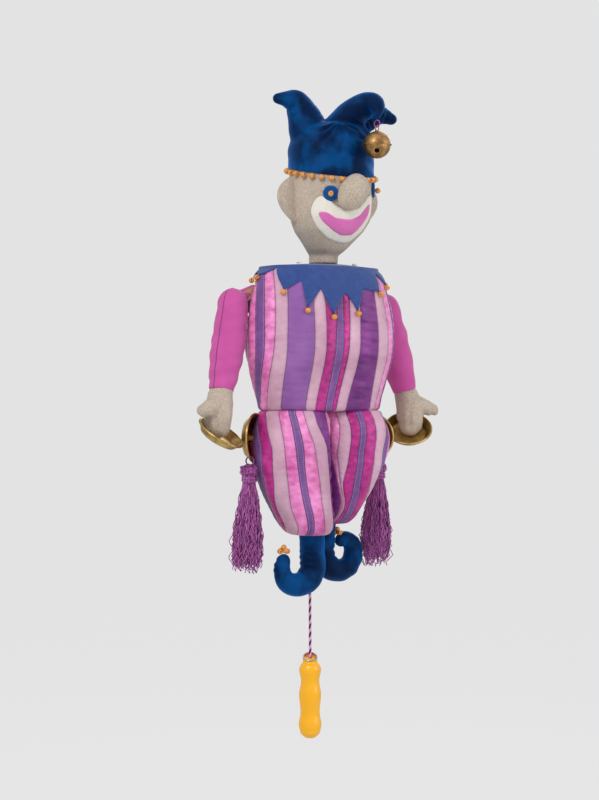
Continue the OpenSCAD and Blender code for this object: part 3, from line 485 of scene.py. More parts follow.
# colour in shade, colour in light, gloss, how strongly the edges are stitched
RIBBONS = {
    PINK: (srgb(196, 80, 152), srgb(248, 156, 216), 1.0, 0.0),
    ROSE: (srgb(206, 98, 164), srgb(252, 178, 226), 1.0, 0.0),
    VIOLET: (srgb(88, 52, 116), srgb(138, 92, 162), 0.25, 1.0),
    DUSTY: (srgb(180, 130, 156), srgb(224, 184, 204), 0.1, 0.6),
    WIDE: (srgb(122, 70, 142), srgb(154, 102, 172), 0.2, 0.1),
    MAGENTA: (srgb(126, 14, 90), srgb(212, 54, 158), 0.9, 0.0),
    PURPLE: (srgb(80, 14, 94), srgb(144, 58, 150), 0.8, 0.0),
}


def ribbon_finish(name, kinds):
    f = Finish(name)
    u, v = f.cloth_map()
    seam = f.seam()

    def weave(across, along):
        where = f.node("ShaderNodeCombineXYZ", {0: u * across, 1: v * along, 2: 0.0})
        return f.node("ShaderNodeTexNoise", {"Vector": where, "Scale": 1.0, "Detail": 2.0})

    share = ((u + 0.0001).floor() + 0.5) / len(kinds)
    shade = f.steps(share, [RIBBONS[k][0] for k in kinds])
    light = f.steps(share, [RIBBONS[k][1] for k in kinds])
    kind = f.steps(share, [(RIBBONS[k][2], RIBBONS[k][3], 0, 1) for k in kinds])
    gloss, stitched, _ = f.parts(kind)
    drift = f.noise(24, 3)
    yarn, fold = weave(14, 900), weave(1.3, 130)
    tone = (drift - 0.5) * 1.5 + (fold - 0.5) * 1.2 * (gloss + 0.25) + 0.5 + (yarn - 0.5) * 0.4
    colour = f.mix(tone, shade, light)
    # painted shade: within about a millimetre of each seam the colour darkens to deep purple, where the
    # ribbons sink in; the same mask also sinks the bump
    seam_groove_shade = 1 - seam.above(0.0006, 0.0005)
    dash = ((v * 330).fract()).above(0.38, 0.05)
    thread = seam.above(0.0011, 0.0002) * (1 - seam.above(0.0019, 0.0002)) * dash * stitched
    colour = f.mix(seam_groove_shade * 0.55, colour, srgb(58, 30, 66))
    colour = f.mix(thread * 0.75, colour, srgb(168, 156, 190))
    return f.done(Base_Color=colour, Roughness=0.72 - gloss * 0.38, Specular=0.35, Sheen_Weight=0.1,
                  Sheen_Roughness=0.4,
                  Normal=f.bump(yarn * 0.25 + fold * 0.9 + thread * 0.5 - seam_groove_shade * 0.8, 0.9, 0.7))


# %% [markdown]
# ## Hard finishes
# Brass and bell metal are dulled with a cloudy tarnish, beads show end grain, the handle is a glossy
# enamel.


# %% Metals, wood, enamel and thread
HANDLE_RIM_Z = -486.8


def metal_finish(name, bright, dull, rough, spots=90):
    f = Finish(name)
    cloud = f.noise(spots, 4)
    fine = f.noise(900, 3)
    colour = f.mix(cloud.above(0.5, 0.2), bright, dull)
    return f.done(Base_Color=colour, Metallic=1.0, Roughness=cloud * 0.25 + fine * 0.1 + rough,
                  Normal=f.bump(fine * 0.5 + cloud * 0.5, 0.15, 0.4))


def wood_finish(name, dark, light, stretch, rough=0.6, coat=0.0, scale=130):
    f = Finish(name)
    grain = f.noise(scale, 4, stretch=stretch)
    pore = f.noise(scale * 5, 2, stretch=stretch)
    colour = f.mix(grain * 0.9 + pore * 0.3 - 0.1, dark, light)
    return f.done(Base_Color=colour, Roughness=rough, Coat_Weight=coat, Coat_Roughness=0.15,
                  Normal=f.bump(grain * 0.5 + pore * 0.5, 0.2, 0.5))


def enamel_finish():
    f = Finish("handle_lacquer")
    flow = f.noise(40, 2)
    colour = f.mix(flow, srgb(246, 172, 0), srgb(255, 188, 2))
    ground = f.noise(800, 3)
    top = f.parts(f.place)[2].above(HANDLE_RIM_Z * MM, 0.0012)
    colour = f.mix(top * 0.8, colour, srgb(222, 96, 34))
    return f.done(Base_Color=colour, Roughness=0.35, Specular=0.4, Coat_Weight=0.3, Coat_Roughness=0.08,
                  Normal=f.bump(flow * 0.8 + ground * 0.2, 0.4, 0.3))


def thread_finish():
    f = Finish("thread")
    strand = f.noise(420, 2, stretch=(1, 1, 0.15))
    twist = f.noise(1500, 1)
    tone = (strand - 0.5) * 2.4 + 0.5 + (twist - 0.5) * 0.6
    colour = f.mix(tone, srgb(88, 22, 82), srgb(206, 108, 194))
    return f.done(Base_Color=colour, Roughness=0.6, Specular=0.4, Sheen_Weight=0.3, Sheen_Roughness=0.4)


def cord_finish():
    f = Finish("cord")
    pale = (f.cloth_map()[0] * (2 * math.pi)).sin().above(0, 0.15)
    fibre = f.noise(1600, 2)
    colour = f.mix(pale, srgb(92, 24, 72), srgb(222, 160, 206))
    return f.done(Base_Color=colour, Roughness=0.75, Specular=0.3, Normal=f.bump(fibre, 0.3, 0.6))


brass = metal_finish("brass", srgb(206, 176, 112), srgb(150, 124, 70), 0.22)
bell_metal = metal_finish("bell_metal", srgb(186, 146, 96), srgb(132, 98, 60), 0.26, 120)
steel = metal_finish("steel", srgb(196, 198, 202), srgb(150, 152, 158), 0.2)
bead_wood = wood_finish("wood_bead", srgb(188, 108, 34), srgb(240, 170, 78), (1, 1, 3), 0.45, 0.3, 260)
plywood = wood_finish("plywood", srgb(176, 134, 86), srgb(222, 186, 138), (1, 12, 1), 0.7)
enamel = enamel_finish()
thread = thread_finish()
cord_yarn = cord_finish()
print("finishes:", len(bpy.data.materials))

# %% [markdown]
# ## The pull cord
# Two plies twisted together, pale and dark, run from the guide inside the body down into the handle. The
# cord hangs straight, so it is a swept tube whose cross-section is a figure of eight that turns as it goes
# down. Its length is the way from the guide to the bottom of the handle's bore.

# %% Cord
CORD_Y = -14
CORD_TOP, CORD_END, CORD_D = -161.5, -507, 3.8
CORD_DRIFT = [(0, 0, 0), (0, 0, .05), (0, 0, .1), (.1, 0, .16), (.2, 0, .22), (.3, .1, .28), (.3, .2, .34),
              (.3, .2, .4),
              (.2, .2, .46), (.1, .1, .52), (0, 0, .58), (-.1, 0, .64), (-.2, 0, .7), (-.2, 0, .76),
              (-.1, 0, .82),
              (0, 0, .88), (0, 0, .94), (0, 0, 1)]
cord_route = np.array([(x, CORD_Y + y, CORD_TOP + (CORD_END - CORD_TOP) * t) for x, y, t in CORD_DRIFT])
CORD_LAY = 11.0
cord_line = smooth_path(cord_route, 300)
CORD_SIDES = 16
cord_turns = np.linspace(0, 2 * math.pi, CORD_SIDES + 1)
cord_rings, cord_u = [], []
for p in cord_line:
    twist = 2 * math.pi * (CORD_TOP - p[2]) / CORD_LAY
    t = cord_turns[:-1]
    radius = CORD_D / 2 * (0.66 + 0.34 * np.abs(np.cos(t - twist)) ** 0.7)
    cord_rings.append(np.stack([p[0] + radius * np.cos(t), p[1] - radius * np.sin(t),
                                np.full(CORD_SIDES, p[2])], -1))
    cord_u.append((cord_turns - twist + math.pi / 2) / (2 * math.pi))
cord_v = np.tile(cord_line[:, 2:3] * MM, (1, CORD_SIDES + 1))
cord = skin("pull_cord_twist", cord_rings, cord_yarn, cord_u, cord_v)
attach(cord, "pull")
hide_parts("pull_cord")
cord_length = float(np.linalg.norm(np.diff(cord_line, axis=0), axis=1).sum()) * MM
tuple(cord_line[0] * MM)
(cord_line * MM).tolist()
print("cord length", round(cord_length, 4))

# %% [markdown]
# ## Ribbon forms
# Torso and trousers are the same kind of form: a rounded outline at each height, walked round by arc
# length, with the ribbons' edges placed along it. Between two seams the stuffing pushes the ribbon out, and
# the stitching holds it in.

# %% Ribbon skins
MID_Y = -38.0
TORSO_TOP, TORSO_H = 19.5, 183.0
WAIST = TORSO_TOP - TORSO_H
ACROSS = np.array([0, 0.1, 0.3, 0.5, 0.7, 0.9])
SUB = len(ACROSS)
OUTLINE_STEPS = 1440
# how far a ribbon bulges for its width, at most, and how far its seams sink
FULLNESS, MOST_PUFF, SEAM_SINK = 0.085, 2.0, 0.3
# how deep each kind of ribbon creases
CREASED = {PURPLE: 0.8, PINK: 0.35, ROSE: 0.35, VIOLET: 0.15, DUSTY: 0.15, WIDE: 0.15, MAGENTA: 0.15}
CREASE_WAVE, PUCKER, PUCKER_WAVE = 15, 0.42, 7.5


def outline(half_w, front, back, front_n, back_n, cx, cy):
    """A fine closed outline, from behind round by the right, the front and the left."""
    turns = np.linspace(-math.pi, math.pi, OUTLINE_STEPS + 1)
    x, y = np.sin(turns), -np.cos(turns)
    n = np.where(y < 0, front_n, back_n)
    depth = np.where(y < 0, front, back)
    return np.stack([cx + half_w * np.sign(x) * np.abs(x) ** (2 / n),
                     cy + depth * np.sign(y) * np.abs(y) ** (2 / n)], -1)


def ribbon_skin(name, kinds, edges, back_count, heights, form, material, puff, seed, extra=()):
    """edges rows are a height, then each front seam's place along the outline. extra rings close the form."""
    rings, us, vs, seams = [], [], [], []
    count = len(kinds)
    for z in heights:
        line = form(z)
        step = np.linalg.norm(np.diff(line, axis=0), axis=1)
        s = np.concatenate([[0], np.cumsum(step)])
        s -= s[OUTLINE_STEPS // 2]
        girth = s[-1] - s[0]
        front = through(edges, [z])[0]
        back = np.linspace(front[-1], front[0] + girth, back_count + 1)[1:]
        starts = np.concatenate([front, back])
        width = np.diff(starts)
        place = (starts[:-1, None] + width[:, None] * ACROSS[None]).ravel()
        wrapped = (place - s[0]) % girth + s[0]
        xy = np.stack([np.interp(wrapped, s, line[:, 0]), np.interp(wrapped, s, line[:, 1])], -1)
        tangent = np.roll(xy, -2, axis=0) - np.roll(xy, 2, axis=0)
        normal = np.stack([tangent[:, 1], -tangent[:, 0]], -1)
        normal /= np.linalg.norm(normal, axis=1)[:, None] + 1e-9
        f = np.tile(ACROSS, count)
        w = np.repeat(width, SUB)
        which = np.repeat(np.arange(count), SUB)
        kind = np.array(kinds)[which]
        crown = 1 - np.abs(2 * f - 1) ** 2.5
        lift = puff(z) * (np.minimum(FULLNESS * w, MOST_PUFF) * crown - SEAM_SINK)
        lift = np.where(kind == VIOLET, 0.5 * lift + 0.25, lift)
        creased = np.array([CREASED[k] for k in kind])
        slant = z + 5 * f
        lift += creased * crown * np.array([ripple(a, seed + 31 * int(k), CREASE_WAVE) for a,
                                            k in zip(slant, which)])
        near = np.exp(-((np.minimum(f, 1 - f) * w - 2) / 2.2) ** 2)
        lift += PUCKER * near * np.array([ripple(z, seed + 7 * int(k) + (3 if q > 0.5 else 0), PUCKER_WAVE)
                                          for k, q in zip(which, f)])
        xy = xy + normal * lift[:, None]
        rings.append(np.column_stack([xy, np.full(len(xy), z)]))
        us.append(np.append(which + f, count))
        vs.append(np.full(count * SUB + 1, z * MM))
        seams.append(np.minimum(f, 1 - f) * w)
    low_ring, high_ring = rings[-1], rings[0]
    for scale, z, centre in extra:
        low = z < heights[-1]
        last = low_ring if low else high_ring
        ring = np.column_stack([centre + (last[:, :2] - centre) * scale, np.full(len(last), z)])
        at, beside = (len(rings), -1) if low else (0, 0)
        for rows, row in ((rings, ring), (us, us[beside]), (vs, vs[beside]), (seams, seams[beside])):
            rows.insert(at, row)
    return skin(name, rings, material, us, vs, seams)


# %% [markdown]
# ### Torso
# Thirteen ribbons cross the front and eleven the back. Towards the waist they sweep to the jester's right.

# %% Torso
TORSO_SHAPE = [(0, .76, .76), (.03, .81, .82), (.085, .86, .88), (.17, .912, .94), (.29, .968, .98),
               (.43, 1, 1),
               (.56, .995, 1), (.68, .955, .95), (.79, .9, .88), (.9, .84, .82), (1, .8, .78)]
TORSO_HALF_W, TORSO_FRONT, TORSO_BACK = 103.0, 55.0, 39.0
TORSO_FRONT_KINDS = [PINK, VIOLET, PINK, DUSTY, WIDE, DUSTY, MAGENTA, VIOLET, MAGENTA, DUSTY, PURPLE, DUSTY,
                     ROSE, VIOLET]
TORSO_BACK_KINDS = [PINK, DUSTY, MAGENTA, DUSTY, WIDE, DUSTY, PINK, VIOLET, MAGENTA, DUSTY, PURPLE, DUSTY]
TORSO_EDGES = [
    (-160, -155, -135, -122, -105, -81, -49, -35, -21, -10, -4, 11, 52, 63, 75, 86),
    (-71, -150, -127, -110, -96, -80, -43, -26, -12, 0, 9, 26, 57, 78, 93, 103),
    (-19, -148, -129, -110, -94, -78, -44, -27, -10, 0, 10, 26, 53, 70, 84, 95),
    (20, -146, -130, -111, -93, -76, -45, -28, -9, 0, 10, 26, 50, 64, 78, 88),
]


def torso_form(z):
    """The torso's outline at a height."""
    share = (TORSO_TOP - z) / TORSO_H
    w, d = through(TORSO_SHAPE, [share])[0]
    back = TORSO_BACK * min(1, 0.93 + 2 * min(share, 1 - share))
    return outline(TORSO_HALF_W * w, TORSO_FRONT * d, back, 2.8, 4, 0, MID_Y)


TORSO_ENDS = [((.98, .975), TORSO_TOP - .8), ((.93, .9), TORSO_TOP), ((.7, .6), TORSO_TOP),
              ((.985, .98), WAIST + 2), ((.95, .93), WAIST + .2), ((.88, .84), WAIST - .8),
              ((.5, .4), WAIST - .8)]
torso_kinds = TORSO_FRONT_KINDS + TORSO_BACK_KINDS
torso = ribbon_skin("torso_ribbon_cloth", torso_kinds, TORSO_EDGES, len(TORSO_BACK_KINDS),
                    np.linspace(TORSO_TOP - 3, WAIST + 5, 92), torso_form,
                    ribbon_finish("torso_ribbons", torso_kinds), lambda z: min(1, 0.45 + (z - WAIST) / 30),
                    11,
                    [(scale, z, (0, MID_Y)) for scale, z in TORSO_ENDS])
print("torso", len(torso.data.polygons), "faces")

# %% [markdown]
# The arm's lever swings through a slit in each side of the torso, under the sleeve. The slit is cut from
# the cloth, and the cloth gets its thickness after that.

# %% Slits for the levers
SHOULDER_X, SHOULDER_Y, SHOULDER_Z = 119.0, -16.0, -26.0


def cut_faces(piece, gone):
    """Deletes the faces whose middle is in gone."""
    bm = bmesh.new()
    bm.from_mesh(piece.data)
    dead = [f for f in bm.faces if gone(np.array(f.calc_center_median()) / MM)]
    bmesh.ops.delete(bm, geom=dead, context="FACES")
    bm.to_mesh(piece.data)
    bm.free()


def thicken(piece, thickness):
    mod = piece.modifiers.new("thickness", "SOLIDIFY")
    mod.thickness = thickness * MM
    mod.offset = -1
    mod.use_even_offset = True


SLIT_HALF_H, SLIT_BACK, SLIT_FRONT = 33, -1.5, -25


def in_slit(p):
    return abs(p[0]) > 78 and SLIT_FRONT < p[1] < SLIT_BACK and abs(p[2] - SHOULDER_Z) < SLIT_HALF_H


cut_faces(torso, in_slit)
subdivide(torso)
thicken(torso, 1.5)
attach(torso, "trunk")
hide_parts("torso_front", "torso_back")

# %% [markdown]
# ### Trousers
# Two stuffed legs lean together at the crotch and taper to the ankles; the jester's right one hangs lower
# and further forward.

# %% Trouser legs
TROUSER_H = 148.0
HIP_HALF_W, HIP_HALF_D = 94.0, 49.0
# share of the height, middle, half width, half depth and lean
LEG_SHAPE = {LEFT: [(0, .445, .43, .82, 0), (.06, .46, .448, .93, 0), (.15, .485, .475, 1, 0),
                    (.25, .5, .49, 1.02, 0),
             (.42, .475, .463, 1.02, .02), (.56, .425, .411, .99, .05), (.7, .37, .353, .94, .1),
             (.83, .316, .3, .86, .17), (.93, .285, .262, .74, .22), (.98, .27, .222, .6, .24),
             (1, .262, .19, .47, .24)]}
LEG_SHAPE[RIGHT] = [(0, .445, .43, .82, 0), (.06, .46, .448, .93, 0), (.15, .487, .48, 1, 0),
                    (.25, .507, .5, 1.02, 0),
                    (.42, .495, .483, 1.02, .02), (.56, .46, .443, .99, .05), (.7, .41, .4, .94, .1),
                    (.83, .345, .345, .86, .17), (.93, .298, .298, .76, .22), (.98, .28, .25, .62, .24),
                    (1, .27, .205, .47, .24)]
NEAR_KINDS = [VIOLET, MAGENTA, DUSTY, PINK, VIOLET, PINK, DUSTY, PURPLE]
NEAR_BACK = [ROSE, DUSTY, VIOLET, MAGENTA, DUSTY, PINK, MAGENTA]
NEAR_EDGES = [
    (-312, -92, -78, -62, -34, -20, -12, 3, 22, 34),
    (-290, -97, -83, -68, -38, -20, -11, 5, 26, 40),
    (-252, -96, -79, -57, -35, -20, -11, 9, 33, 52),
    (-214, -92, -73, -53, -35, -21, -10, 7, 30, 54),
    (-175, -106, -90, -68, -43, -29, -20, -9, 7, 28),
    (-163, -110, -94, -70, -45, -31, -22, -11, 5, 26),
]
FAR_KINDS = [PURPLE, ROSE, DUSTY, MAGENTA, VIOLET, MAGENTA, DUSTY, VIOLET]
FAR_BACK = [PINK, DUSTY, PURPLE, DUSTY, VIOLET, PINK, DUSTY]
FAR_EDGES = [
    (-312, -50, -16, -14, -12, -6, 4, 18, 32, 44),
    (-293, -58, -16, -14, -11, -6, 5, 22, 38, 50),
    (-253, -70, -37, -33, -28, -14, -4, 12, 30, 44),
    (-215, -80, -57, -47, -30, -19, -10, 6, 21, 35),
    (-175, -88, -59, -42, -28, -15, -6, 9, 32, 41),
    (-163, -88, -59, -42, -28, -15, -6, 9, 32, 42),
]


def hem_top(side):
    return (side * HIP_HALF_W * .445, MID_Y)


def leg_form(side, drop, shift):
    """The outline of a leg at each height. drop lowers the leg, and shift leans its hem."""
    def form(z):
        q = (WAIST - z) / (TROUSER_H + drop)
        mid, w, d, lean = through(LEG_SHAPE[side], [q])[0]
        front = HIP_HALF_D * d
        return outline(HIP_HALF_W * w, front, min(front, TORSO_BACK + 2 * q), 2.6, 3, side * HIP_HALF_W * mid,
                       MID_Y + shift * lean)
    return form


def trouser(name, side, drop, shift, kinds, back_kinds, edges, node, seed):
    low = WAIST - TROUSER_H - drop
    ends = (((.985, .98), WAIST - 1.6), ((.94, .92), WAIST + .2), ((.86, .84), WAIST + .8),
            ((.4, .4), WAIST + .8))
    piece = ribbon_skin(name, kinds + back_kinds, edges, len(back_kinds), np.linspace(WAIST - 4, low, 76),
                        leg_form(side, drop, shift), ribbon_finish(name + "_ribbons", kinds + back_kinds),
                        lambda z: min(1, 0.35 + (WAIST - z) / 22) * min(1, 0.3 + (z - low) / 18), seed,
                        [(scale, z, hem_top(side)) for scale, z in ends])
    subdivide(piece)
    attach(piece, "trunk")
    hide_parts(node)


trouser("right_trouser_cloth", RIGHT, 12, -50, NEAR_KINDS, NEAR_BACK, NEAR_EDGES, "right_trouser", 41)
trouser("left_trouser_cloth", LEFT, 0, 60, FAR_KINDS, FAR_BACK, FAR_EDGES, "left_trouser", 77)

# %% [markdown]
# ## Tubes and fused forms
# Arms, feet and hat horns are tubes that swell and bend. Where several tubes grow out of one another, such
# as the horns out of the crown or the thumb out of the mitten, they are joined, remeshed as one skin and
# smoothed.


# %% Tubes
def tube_rings(path, count, sides=32, flat=(0, 1, 0), wide=1.0, round_ends=(True, True)):
    """path rows are x, y, z, radius. Rounded ends are half balls."""
    line = smooth_path(path, count)
    p, r = line[:, :3], line[:, 3]
    d = np.gradient(p, axis=0)
    d /= np.linalg.norm(d, axis=1)[:, None]
    t = turns_of(sides)

    def ring(centre, direction, radius):
        n = np.cross(direction, flat)
        n /= np.linalg.norm(n)
        b = np.cross(n, direction)
        return centre + radius * (np.cos(t)[:, None] * n + wide * np.sin(t)[:, None] * b)

    rings = [ring(p[i], d[i], r[i]) for i in range(count)]
    angles = np.radians([15, 35, 55, 75])
    if round_ends[0]:
        rings = [ring(p[0] - d[0] * r[0] * math.cos(a), d[0], r[0] * math.sin(a)) for a in angles] + rings
    if round_ends[1]:
        rings += [ring(p[-1] + d[-1] * r[-1] * math.cos(a), d[-1], r[-1] * math.sin(a)) for a in angles[::-1]]
    return np.array(rings)


def fuse(name, shells, voxel, rounds, material):
    """Several closed skins, remeshed as one and smoothed."""
    bm = bmesh.new()
    for i, rings in enumerate(shells):
        shell = skin(f"{name}_{i}", rings, material)
        bm.from_mesh(shell.data)
        bpy.data.objects.remove(shell)
    mesh = bpy.data.meshes.new(name)
    bm.to_mesh(mesh)
    bm.free()
    piece = new_piece(name, mesh, material)
    remesh = piece.modifiers.new("remesh", "REMESH")
    remesh.mode = "VOXEL"
    remesh.voxel_size = voxel * MM
    soften = piece.modifiers.new("soften", "SMOOTH")
    soften.factor = 0.6
    soften.iterations = rounds
    bake(piece)
    shade_smooth(piece.data)
    return piece


# %% [markdown]
# ## Head
# The head is one stuffed linen bag that narrows to the neck. Two flat half-moon pads are sewn on as ears,
# and a stuffed egg as the nose.

# %% Head, ears and nose
HEAD_Y, NECK_Y = -63.0, -46.0
HEAD_W, HEAD_D = 54.5, 52.0
HEAD_SHAPE = [(26.5, .345, 0), (36.5, .35, .02), (43.5, .46, .26), (56.5, .655, .52), (69.5, .845, .72),
              (88.5, .98, .93), (111.5, 1, 1), (164.5, .99, 1)]


def on_head(turn, z, out=0.0):
    """A point over the head: turn degrees from straight ahead, at height z, out beyond the linen."""
    turn, z = np.broadcast_arrays(np.asarray(turn, float), np.asarray(z, float))
    share = through(HEAD_SHAPE, z.ravel()).reshape(z.shape + (2,))
    a = np.radians(turn)
    mid = NECK_Y + (HEAD_Y - NECK_Y) * share[..., 1]
    return np.stack([(HEAD_W * share[..., 0] + out) * np.sin(a),
                     mid - (HEAD_D * share[..., 0] + out) * np.cos(a), z],
                    -1)


head_turns = np.linspace(0, 360, 72, endpoint=False)
head_rings = []
for z in np.linspace(26.5, 152, 64):
    lump = 0.5 * ripple(head_turns + 0 * z, 5, 90) * math.sin(z / 17.0)
    head_rings.append(on_head(head_turns, z, lump))
head = skin("head_linen_cloth", head_rings, linen)
subdivide(head)
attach(head, "trunk")
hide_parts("head")

EAR_TOP, EAR_H, EAR_REACH, EAR_T, EAR_SUNK = 138.5, 63.0, 79.0, 5.0, 8.0


def ear(side, name, node):
    """A flat half moon with a stitched groove inside its edge."""
    u = np.concatenate([np.linspace(0, 1, 14), np.linspace(1, 0, 14)[1:-1]])
    front = np.array([1.0] * 14 + [-1.0] * 12)
    root = HEAD_W - EAR_SUNK
    groove = 1 - 0.35 * np.exp(-((u - .82) / .06) ** 2)
    rings = []
    for t in np.linspace(4, 176, 40):
        a = math.radians(t)
        reach = (EAR_REACH - root) * math.sin(a) ** 0.66
        z = EAR_TOP - EAR_H * (t / 180) ** 1.15
        thick = (EAR_T / 2 + 0.9) * math.sin(a) ** 0.4 * np.sqrt(np.clip(1 - u ** 5, 0.0, 1)) * groove
        y = HEAD_Y + 5 - front * thick + 1.6 * u ** 2
        rings.append(np.stack([side * (root + reach * u), y, np.full(len(u), z)], -1))
    piece = skin(name, rings, linen)
    subdivide(piece)
    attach(piece, "trunk")
    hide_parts(node)


ear(RIGHT, "right_ear_pad", "right_ear")
ear(LEFT, "left_ear_pad", "left_ear")

NOSE_TURN, NOSE_Z, NOSE_LEAN = -4.0, 114.0, 36.0
nose_rings = []
for a in np.radians(np.linspace(6, 174, 30)):
    t = turns_of(40)
    length = 25.6 - 0.7 * math.cos(a)
    girth = (19.0 + 0.9 * math.cos(a)) * math.sin(a) ** 0.92
    wobble = 1 + 0.012 * np.sin(3 * t + 4 * math.cos(a))
    nose_rings.append(np.stack([girth * wobble * np.cos(t), 0.8 * girth * wobble * np.sin(t),
                                np.full(40, length * math.cos(a))], -1))
nose_place = (Matrix.Translation(Vector(on_head(NOSE_TURN, NOSE_Z - 1, 5).tolist()))
              @ Matrix.Rotation(math.radians(NOSE_TURN), 4, "Z") @ Matrix.Rotation(math.radians(NOSE_LEAN), 4,
                                                                                   "Y"))
nose_rings = np.array([[list(nose_place @ Vector(p)) for p in ring] for ring in nose_rings])
nose = skin("nose_linen_ball", nose_rings, linen)
subdivide(nose)
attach(nose, "trunk")
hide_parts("nose")

# %% [markdown]
# ## Face patch, mouth and eyes
# The white felt is a broad smile that runs up both sides of the nose, and the satin mouth lies on it. Both
# follow the round of the head, so they are grids in turn and height. The eyes are felt discs.


# %% Felt and satin on the face
def head_patch(name, low, high, out, thick, material, node):
    """low and high are tables of turn and height for the lower and upper edge."""
    cols, rows = 60, 22
    turns = np.linspace(low[0][0], low[-1][0], cols)
    lo, hi = through(low, turns)[:, 0], through(high, turns)[:, 0]
    share = np.linspace(0, 1, rows)
    z = lo[:, None] + (hi - lo)[:, None] * share[None]
    edge = np.minimum(np.minimum(share[None], 1 - share[None]) * (hi - lo)[:, None], 3.0) / 3.0
    ends = np.minimum(np.minimum(np.arange(cols), cols - 1 - np.arange(cols)) / 3.0, 1.0)[:, None]
    dome = thick * np.sqrt(np.clip(1 - (1 - edge * ends) ** 2, 0, 1))
    points = on_head(turns[:, None] + 0 * z, z, out + dome).reshape(-1, 3)
    faces = [(i * rows + j, (i + 1) * rows + j, (i + 1) * rows + j + 1, i * rows + j + 1)
             for i in range(cols - 1) for j in range(rows - 1)]
    piece = new_piece(name, make_mesh(name, points, faces), material)
    face_outward(piece)
    centre = Vector((0, HEAD_Y * MM, 0.09))
    f = piece.data.polygons[len(faces) // 2]
    if f.normal.dot(f.center - centre) < 0:
        piece.data.flip_normals()
    thicken(piece, 0.8)
    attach(piece, "trunk")
    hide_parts(node)


FELT_LOW = [(-60, 87), (-57, 79), (-51, 69), (-42, 61.5), (-33, 56.5), (-14, 52.6), (4, 51), (19, 52),
            (28, 56),
            (33, 64), (36, 77), (37.5, 92), (38, 101)]
FELT_HIGH = [(-60, 92), (-57, 99), (-51, 106), (-46, 108), (-40, 106.5), (-33, 102), (-24, 95), (-9, 91),
             (6, 94),
             (18, 103), (26, 110), (33, 113), (36.5, 110), (38, 106)]
MOUTH_LOW = [(-48, 84), (-44, 78), (-38, 73), (-22, 64), (-6, 60), (12, 61), (20, 70), (26, 84), (30, 96)]
MOUTH_HIGH = [(-48, 87), (-44, 88), (-38, 87), (-22, 80), (-6, 79), (8, 83), (18, 92), (26, 99), (30, 100)]
head_patch("face_felt_patch", FELT_LOW, FELT_HIGH, 1.3, 1.1, felt_white, "face_patch")
head_patch("mouth_satin", MOUTH_LOW, MOUTH_HIGH, 2.7, 1.0, satin_pink, "mouth")

EYES = [(-33.0, 111.0), (53.0, 121.0)]
# radius and height of the felt disc's profile, from its middle to its edge
EYE_PROFILE = [(0, 3.1), (4, 3.05), (7.5, 2.9), (9.2, 2.5), (9.9, 1.8), (10, 1.0), (9.8, -1.4)]
EYE_SIDES = 40


def at_head(turn, z):
    """Turns -Y of a local point to the head's outward direction at this turn."""
    return Matrix.Translation(Vector(on_head(turn, z).tolist())) @ Matrix.Rotation(math.radians(turn), 4, "Z")


eye_bm = bmesh.new()
for turn, z in EYES:
    place = at_head(turn, z)
    rows = []
    for r, out in EYE_PROFILE:
        row = [(r * (1 + .02 * math.sin(9 * a)) * math.cos(a), -out, r * math.sin(a))
               for a in turns_of(EYE_SIDES if r else 1)]
        rows.append([eye_bm.verts.new(place @ Vector(v)) for v in row])
    for a, b in zip(rows, rows[1:]):
        for i in range(EYE_SIDES):
            j = (i + 1) % EYE_SIDES
            eye_bm.faces.new((a[0], b[i], b[j]) if len(a) == 1 else (a[i], b[i], b[j], a[j]))
    eye_bm.faces.new(rows[-1][::-1])
bmesh.ops.recalc_face_normals(eye_bm, faces=eye_bm.faces)
bmesh.ops.scale(eye_bm, vec=(MM, MM, MM), verts=eye_bm.verts)
eye_mesh = bpy.data.meshes.new("eye_felt_discs")
eye_bm.to_mesh(eye_mesh)
eye_bm.free()
eyes = new_piece("eye_felt_discs", eye_mesh, felt_blue)
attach(eyes, "trunk")
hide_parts("eye_patches")

# %% [markdown]
# ## Beads
# Wooden beads sit round the hat's edge, on every point of the collar, on the toes and in the eyes. They
# repeat, so a small Geometry Nodes tree puts one turned bead on each of a set of points, with its hole
# along the point's axis.


# %% Bead tree
def new_tree(name, length, value):
    """A tree that takes a mesh, one length and a material."""
    sockets = [(length, "NodeSocketFloat", value), ("Material", "NodeSocketMaterial", None)]
    tree = bpy.data.node_groups.new(name, "GeometryNodeTree")
    tree.interface.new_socket("Geometry", in_out="INPUT", socket_type="NodeSocketGeometry")
    for label, kind, value in sockets:
        made = tree.interface.new_socket(label, in_out="INPUT", socket_type=kind)
        if value is not None:
            made.default_value = value
    tree.interface.new_socket("Geometry", in_out="OUTPUT", socket_type="NodeSocketGeometry")
    return tree


def plant(tree, kind, links=None, values=None, settings=None):
    """One node, with what is linked to it, its typed values and its settings."""
    n = tree.nodes.new(kind)
    for key, value in (settings or {}).items():
        setattr(n, key, value)
    for key, value in (values or {}).items():
        n.inputs[key].default_value = value
    for key, source in (links or {}).items():
        tree.links.new(source, n.inputs[key])
    return n


def finish_tree(tree, geometry, material_socket):
    """Makes the copies real, smooth and painted."""
    real = plant(tree, "GeometryNodeRealizeInstances", {"Geometry": geometry})
    shade = plant(tree, "GeometryNodeSetShadeSmooth", {"Geometry": real.outputs[0]})
    painted = plant(tree, "GeometryNodeSetMaterial",
                    {"Geometry": shade.outputs[0], "Material": material_socket})
    plant(tree, "NodeGroupOutput", {0: painted.outputs[0]})


def grow(name, mesh, tree, values, material):
    """Runs a tree on a mesh and keeps the result as a plain mesh."""
    piece = show(name, mesh)
    mod = piece.modifiers.new("grow", "NODES")
    mod.node_group = tree
    ids = {s.name: s.identifier for s in tree.interface.items_tree if s.in_out == "INPUT"}
    for key, value in values.items():
        mod[ids[key]] = value
    mod[ids["Material"]] = material
    bake(piece)
    return piece


